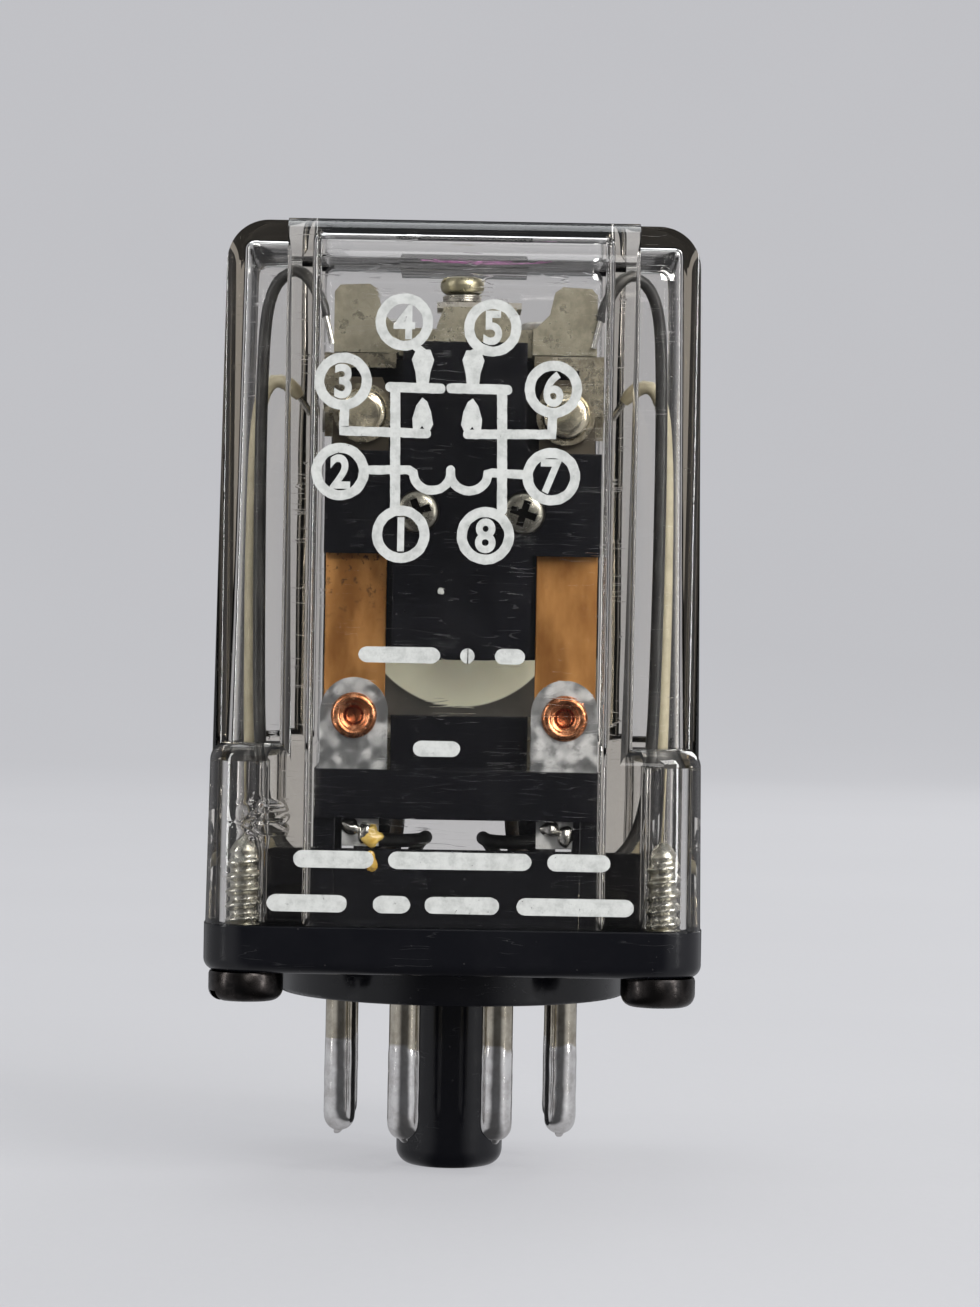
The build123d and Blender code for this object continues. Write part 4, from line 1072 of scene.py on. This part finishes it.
def blob(place, size, seed, material, name, slot="tinned_brass", lumps=0.25):
    """A smooth uneven drop, such as solder or hardened flux."""
    rings = []
    rows, segments = 14, 24
    for i in range(rows + 1):
        polar = math.pi * (i + 0.02) / (rows + 0.04)
        ring = []
        for k in range(segments):
            angle = 2 * math.pi * k / segments
            out = math.sin(polar)
            way = Vector((out * math.cos(angle), out * math.sin(angle), -math.cos(polar)))
            swell = 1 + lumps * noise.noise(way * 1.3 + Vector((seed * 5.1, seed, 0)))
            ring.append(Vector(place) + Vector((way.x * size[0], way.y * size[1], way.z * size[2])) * swell)
        rings.append(ring)
    points, faces = skin(rings)
    return mesh_piece(name, points, faces, material, slot)


def solder_joints():
    """Solder on the tab tails, with hardened amber flux beside the left one."""
    for side, sign in (("left", -1), ("right", 1)):
        x = MECH_X + sign * 7.1
        blob((x - 0.5, -10.75, 12.6), (0.75, 0.5, 0.65), 1.0 + sign, MATERIALS["solder"], f"solder_a_{side}")
        blob((x + 0.6, -10.8, 12.1), (0.62, 0.45, 0.8), 4.0 + sign, MATERIALS["solder"], f"solder_b_{side}")
        blob((x, -10.15, 12.2), (1.0, 0.5, 0.7), 7.0 + sign, MATERIALS["solder"], f"solder_c_{side}")
    blob((MECH_X - 6.25, -10.9, 11.9), (0.8, 0.4, 0.75), 2.2, MATERIALS["flux"], "flux_drop", lumps=0.5)
    blob((MECH_X - 6.1, -11.75, 10.2), (0.42, 0.25, 0.7), 5.2, MATERIALS["flux"], "flux_run", lumps=0.5)


def specks():
    """A pale chip on the front moulding, below its screws."""
    blob((-1.25, -12.02, 29.4), (0.22, 0.05, 0.24), 3.3, INK, "chip", "cover_clear", 0.3)


def marker_smudge():
    """Traces of purple marker on the cover's ceiling: three thin arcs of film."""
    ceiling = COVER_TOP - 1.3
    shapes = []
    for start, end, radius, centre, width in (
        (20, 160, 4.6, (2.1, -3.4), 0.45), (60, 125, 6.2, (0.4, -6.0), 1.3), (-25, 40, 5.2, (1.2, -4.2), 0.8),
    ):
        rings = []
        for i in range(33):
            share = i / 32
            angle = math.radians(start + (end - start) * share)
            uneven = 1 + 0.4 * noise.noise(Vector((i * 0.4, start, 0)))
            w = width * (0.25 + 0.75 * math.sin(math.pi * share)) * uneven
            near, far = radius - w / 2, radius + w / 2
            inner = (centre[0] + near * math.cos(angle), centre[1] + near * math.sin(angle))
            outer = (centre[0] + far * math.cos(angle), centre[1] + far * math.sin(angle))
            z0, z1 = ceiling - 0.44, ceiling - 0.42
            rings.append([(*inner, z0), (*outer, z0), (*outer, z1), (*inner, z1)])
        shapes.append(skin(rings))
    points, faces = join(*shapes)
    mesh_piece("marker_smudge", points, faces, MATERIALS["marker"], "cover_clear")


# ---------------------------------------------------------------- studio
def studio():
    """A pale bowl of paper all round, so that every view has a plain background."""
    floor_z = BASE_LOW.z * MM
    flat, rise, bend = 0.75, 0.75, 0.35
    profile = [(0.001, 0.0), (0.2, 0.0), (0.45, 0.0), (flat, 0.0)]
    for i in range(1, 15):
        angle = math.pi / 2 * i / 14
        profile.append((flat + bend * math.sin(angle), bend * (1 - math.cos(angle))))
    profile.append((flat + bend, rise))
    rings = []
    for radius, height in profile:
        steps = [2 * math.pi * i / 96 for i in range(96)]
        rings.append([(radius * math.cos(a), radius * math.sin(a), height + floor_z) for a in steps])
    points, faces = skin(rings, caps=False)
    mesh = bpy.data.meshes.new("sweep")
    mesh.from_pydata(points, [], faces)
    mesh.polygons.foreach_set("use_smooth", [True] * len(mesh.polygons))
    mesh.materials.append(PAPER)
    sweep = bpy.data.objects.new("sweep", mesh)
    bpy.context.scene.collection.objects.link(sweep)


def softbox(name, place, aim, size, power, color=(1, 1, 1)):
    light = bpy.data.lights.new(name, "AREA")
    light.shape = "RECTANGLE"
    light.size, light.size_y = size
    light.energy = power
    light.color = color
    lamp = bpy.data.objects.new(name, light)
    lamp.location = place
    lamp.rotation_euler = (Vector(aim) - Vector(place)).to_track_quat("-Z", "Y").to_euler()
    lamp.visible_camera = False
    bpy.context.scene.collection.objects.link(lamp)


def dark_card(name, place, aim, size):
    """A black flag that shows only in reflections and through the cover's edges."""
    half_w, half_h = size[0] / 2, size[1] / 2
    mesh = bpy.data.meshes.new(name)
    corners = [(-half_w, -half_h, 0), (half_w, -half_h, 0), (half_w, half_h, 0), (-half_w, half_h, 0)]
    mesh.from_pydata(corners, [], [(0, 1, 2, 3)])
    mesh.materials.append(FLAG)
    card = bpy.data.objects.new(name, mesh)
    card.location = place
    card.rotation_euler = (Vector(aim) - Vector(place)).to_track_quat("Z", "Y").to_euler()
    card.visible_camera = False
    card.visible_shadow = False
    card.visible_diffuse = False
    bpy.context.scene.collection.objects.link(card)


def black_flag():
    g = Graph("studio_flag")
    color = g.mix(g.noise(40, 2), (0.01, 0.01, 0.011), (0.02, 0.02, 0.021))
    return g.surface(g.principled(color=color, rough=0.9))


FLAG = black_flag()


def world_light():
    world = bpy.data.worlds.new("studio")
    world.use_nodes = True
    shade = world.node_tree.nodes["Background"]
    shade.inputs["Color"].default_value = (0.80, 0.84, 0.88, 1)
    shade.inputs["Strength"].default_value = 0.42
    bpy.context.scene.world = world


def lights():
    middle = (0, 0, 0.025)
    softbox("key", (0.42, -0.50, 0.46), middle, (0.45, 0.35), 4.6, (1.0, 0.99, 0.975))
    softbox("top", (-0.15, 0.35, 0.85), middle, (0.6, 0.45), 2.2, (0.95, 0.98, 1.0))
    softbox("left_strip", (-0.52, -0.22, 0.12), middle, (0.05, 0.6), 1.1)
    softbox("right_strip", (0.50, -0.34, 0.12), middle, (0.06, 0.6), 1.9)
    softbox("fill", (0.10, -0.62, 0.24), middle, (0.25, 0.2), 0.45)
    softbox("rear", (0.30, 0.62, 0.35), middle, (0.35, 0.35), 1.8)
    dark_card("flag_left", (-0.50, -0.05, 0.10), middle, (0.22, 0.6))
    dark_card("flag_right", (0.52, -0.02, 0.10), middle, (0.16, 0.6))


LENS = 111.8
CAMERA_AT = (0.0, -0.300, 0.02765)
CAMERA_AIM = (0.0024, 0.0, 0.02495)
CAMERA_ROLL = math.radians(1.0)


def camera():
    data = bpy.data.cameras.new("camera")
    data.lens = LENS
    data.clip_start = 0.01
    holder = bpy.data.objects.new("camera", data)
    holder.location = CAMERA_AT
    look = (Vector(CAMERA_AIM) - Vector(CAMERA_AT)).to_track_quat("-Z", "Y")
    holder.rotation_mode = "QUATERNION"
    holder.rotation_quaternion = look @ Quaternion((0, 0, 1), CAMERA_ROLL)
    bpy.context.scene.collection.objects.link(holder)
    bpy.context.scene.camera = holder
    bpy.context.scene.view_settings.view_transform = "Standard"


# ---------------------------------------------------------------- build
dress_cad_nodes()
camera()
world_light()
studio()
lights()
wiring_diagram()
ruled_rows()
cover_screws()
contact_pins()
eyelets()
copper_strips()
cross_screws()
coil_spring()
adjuster()
leads()
solder_joints()
specks()
marker_smudge()
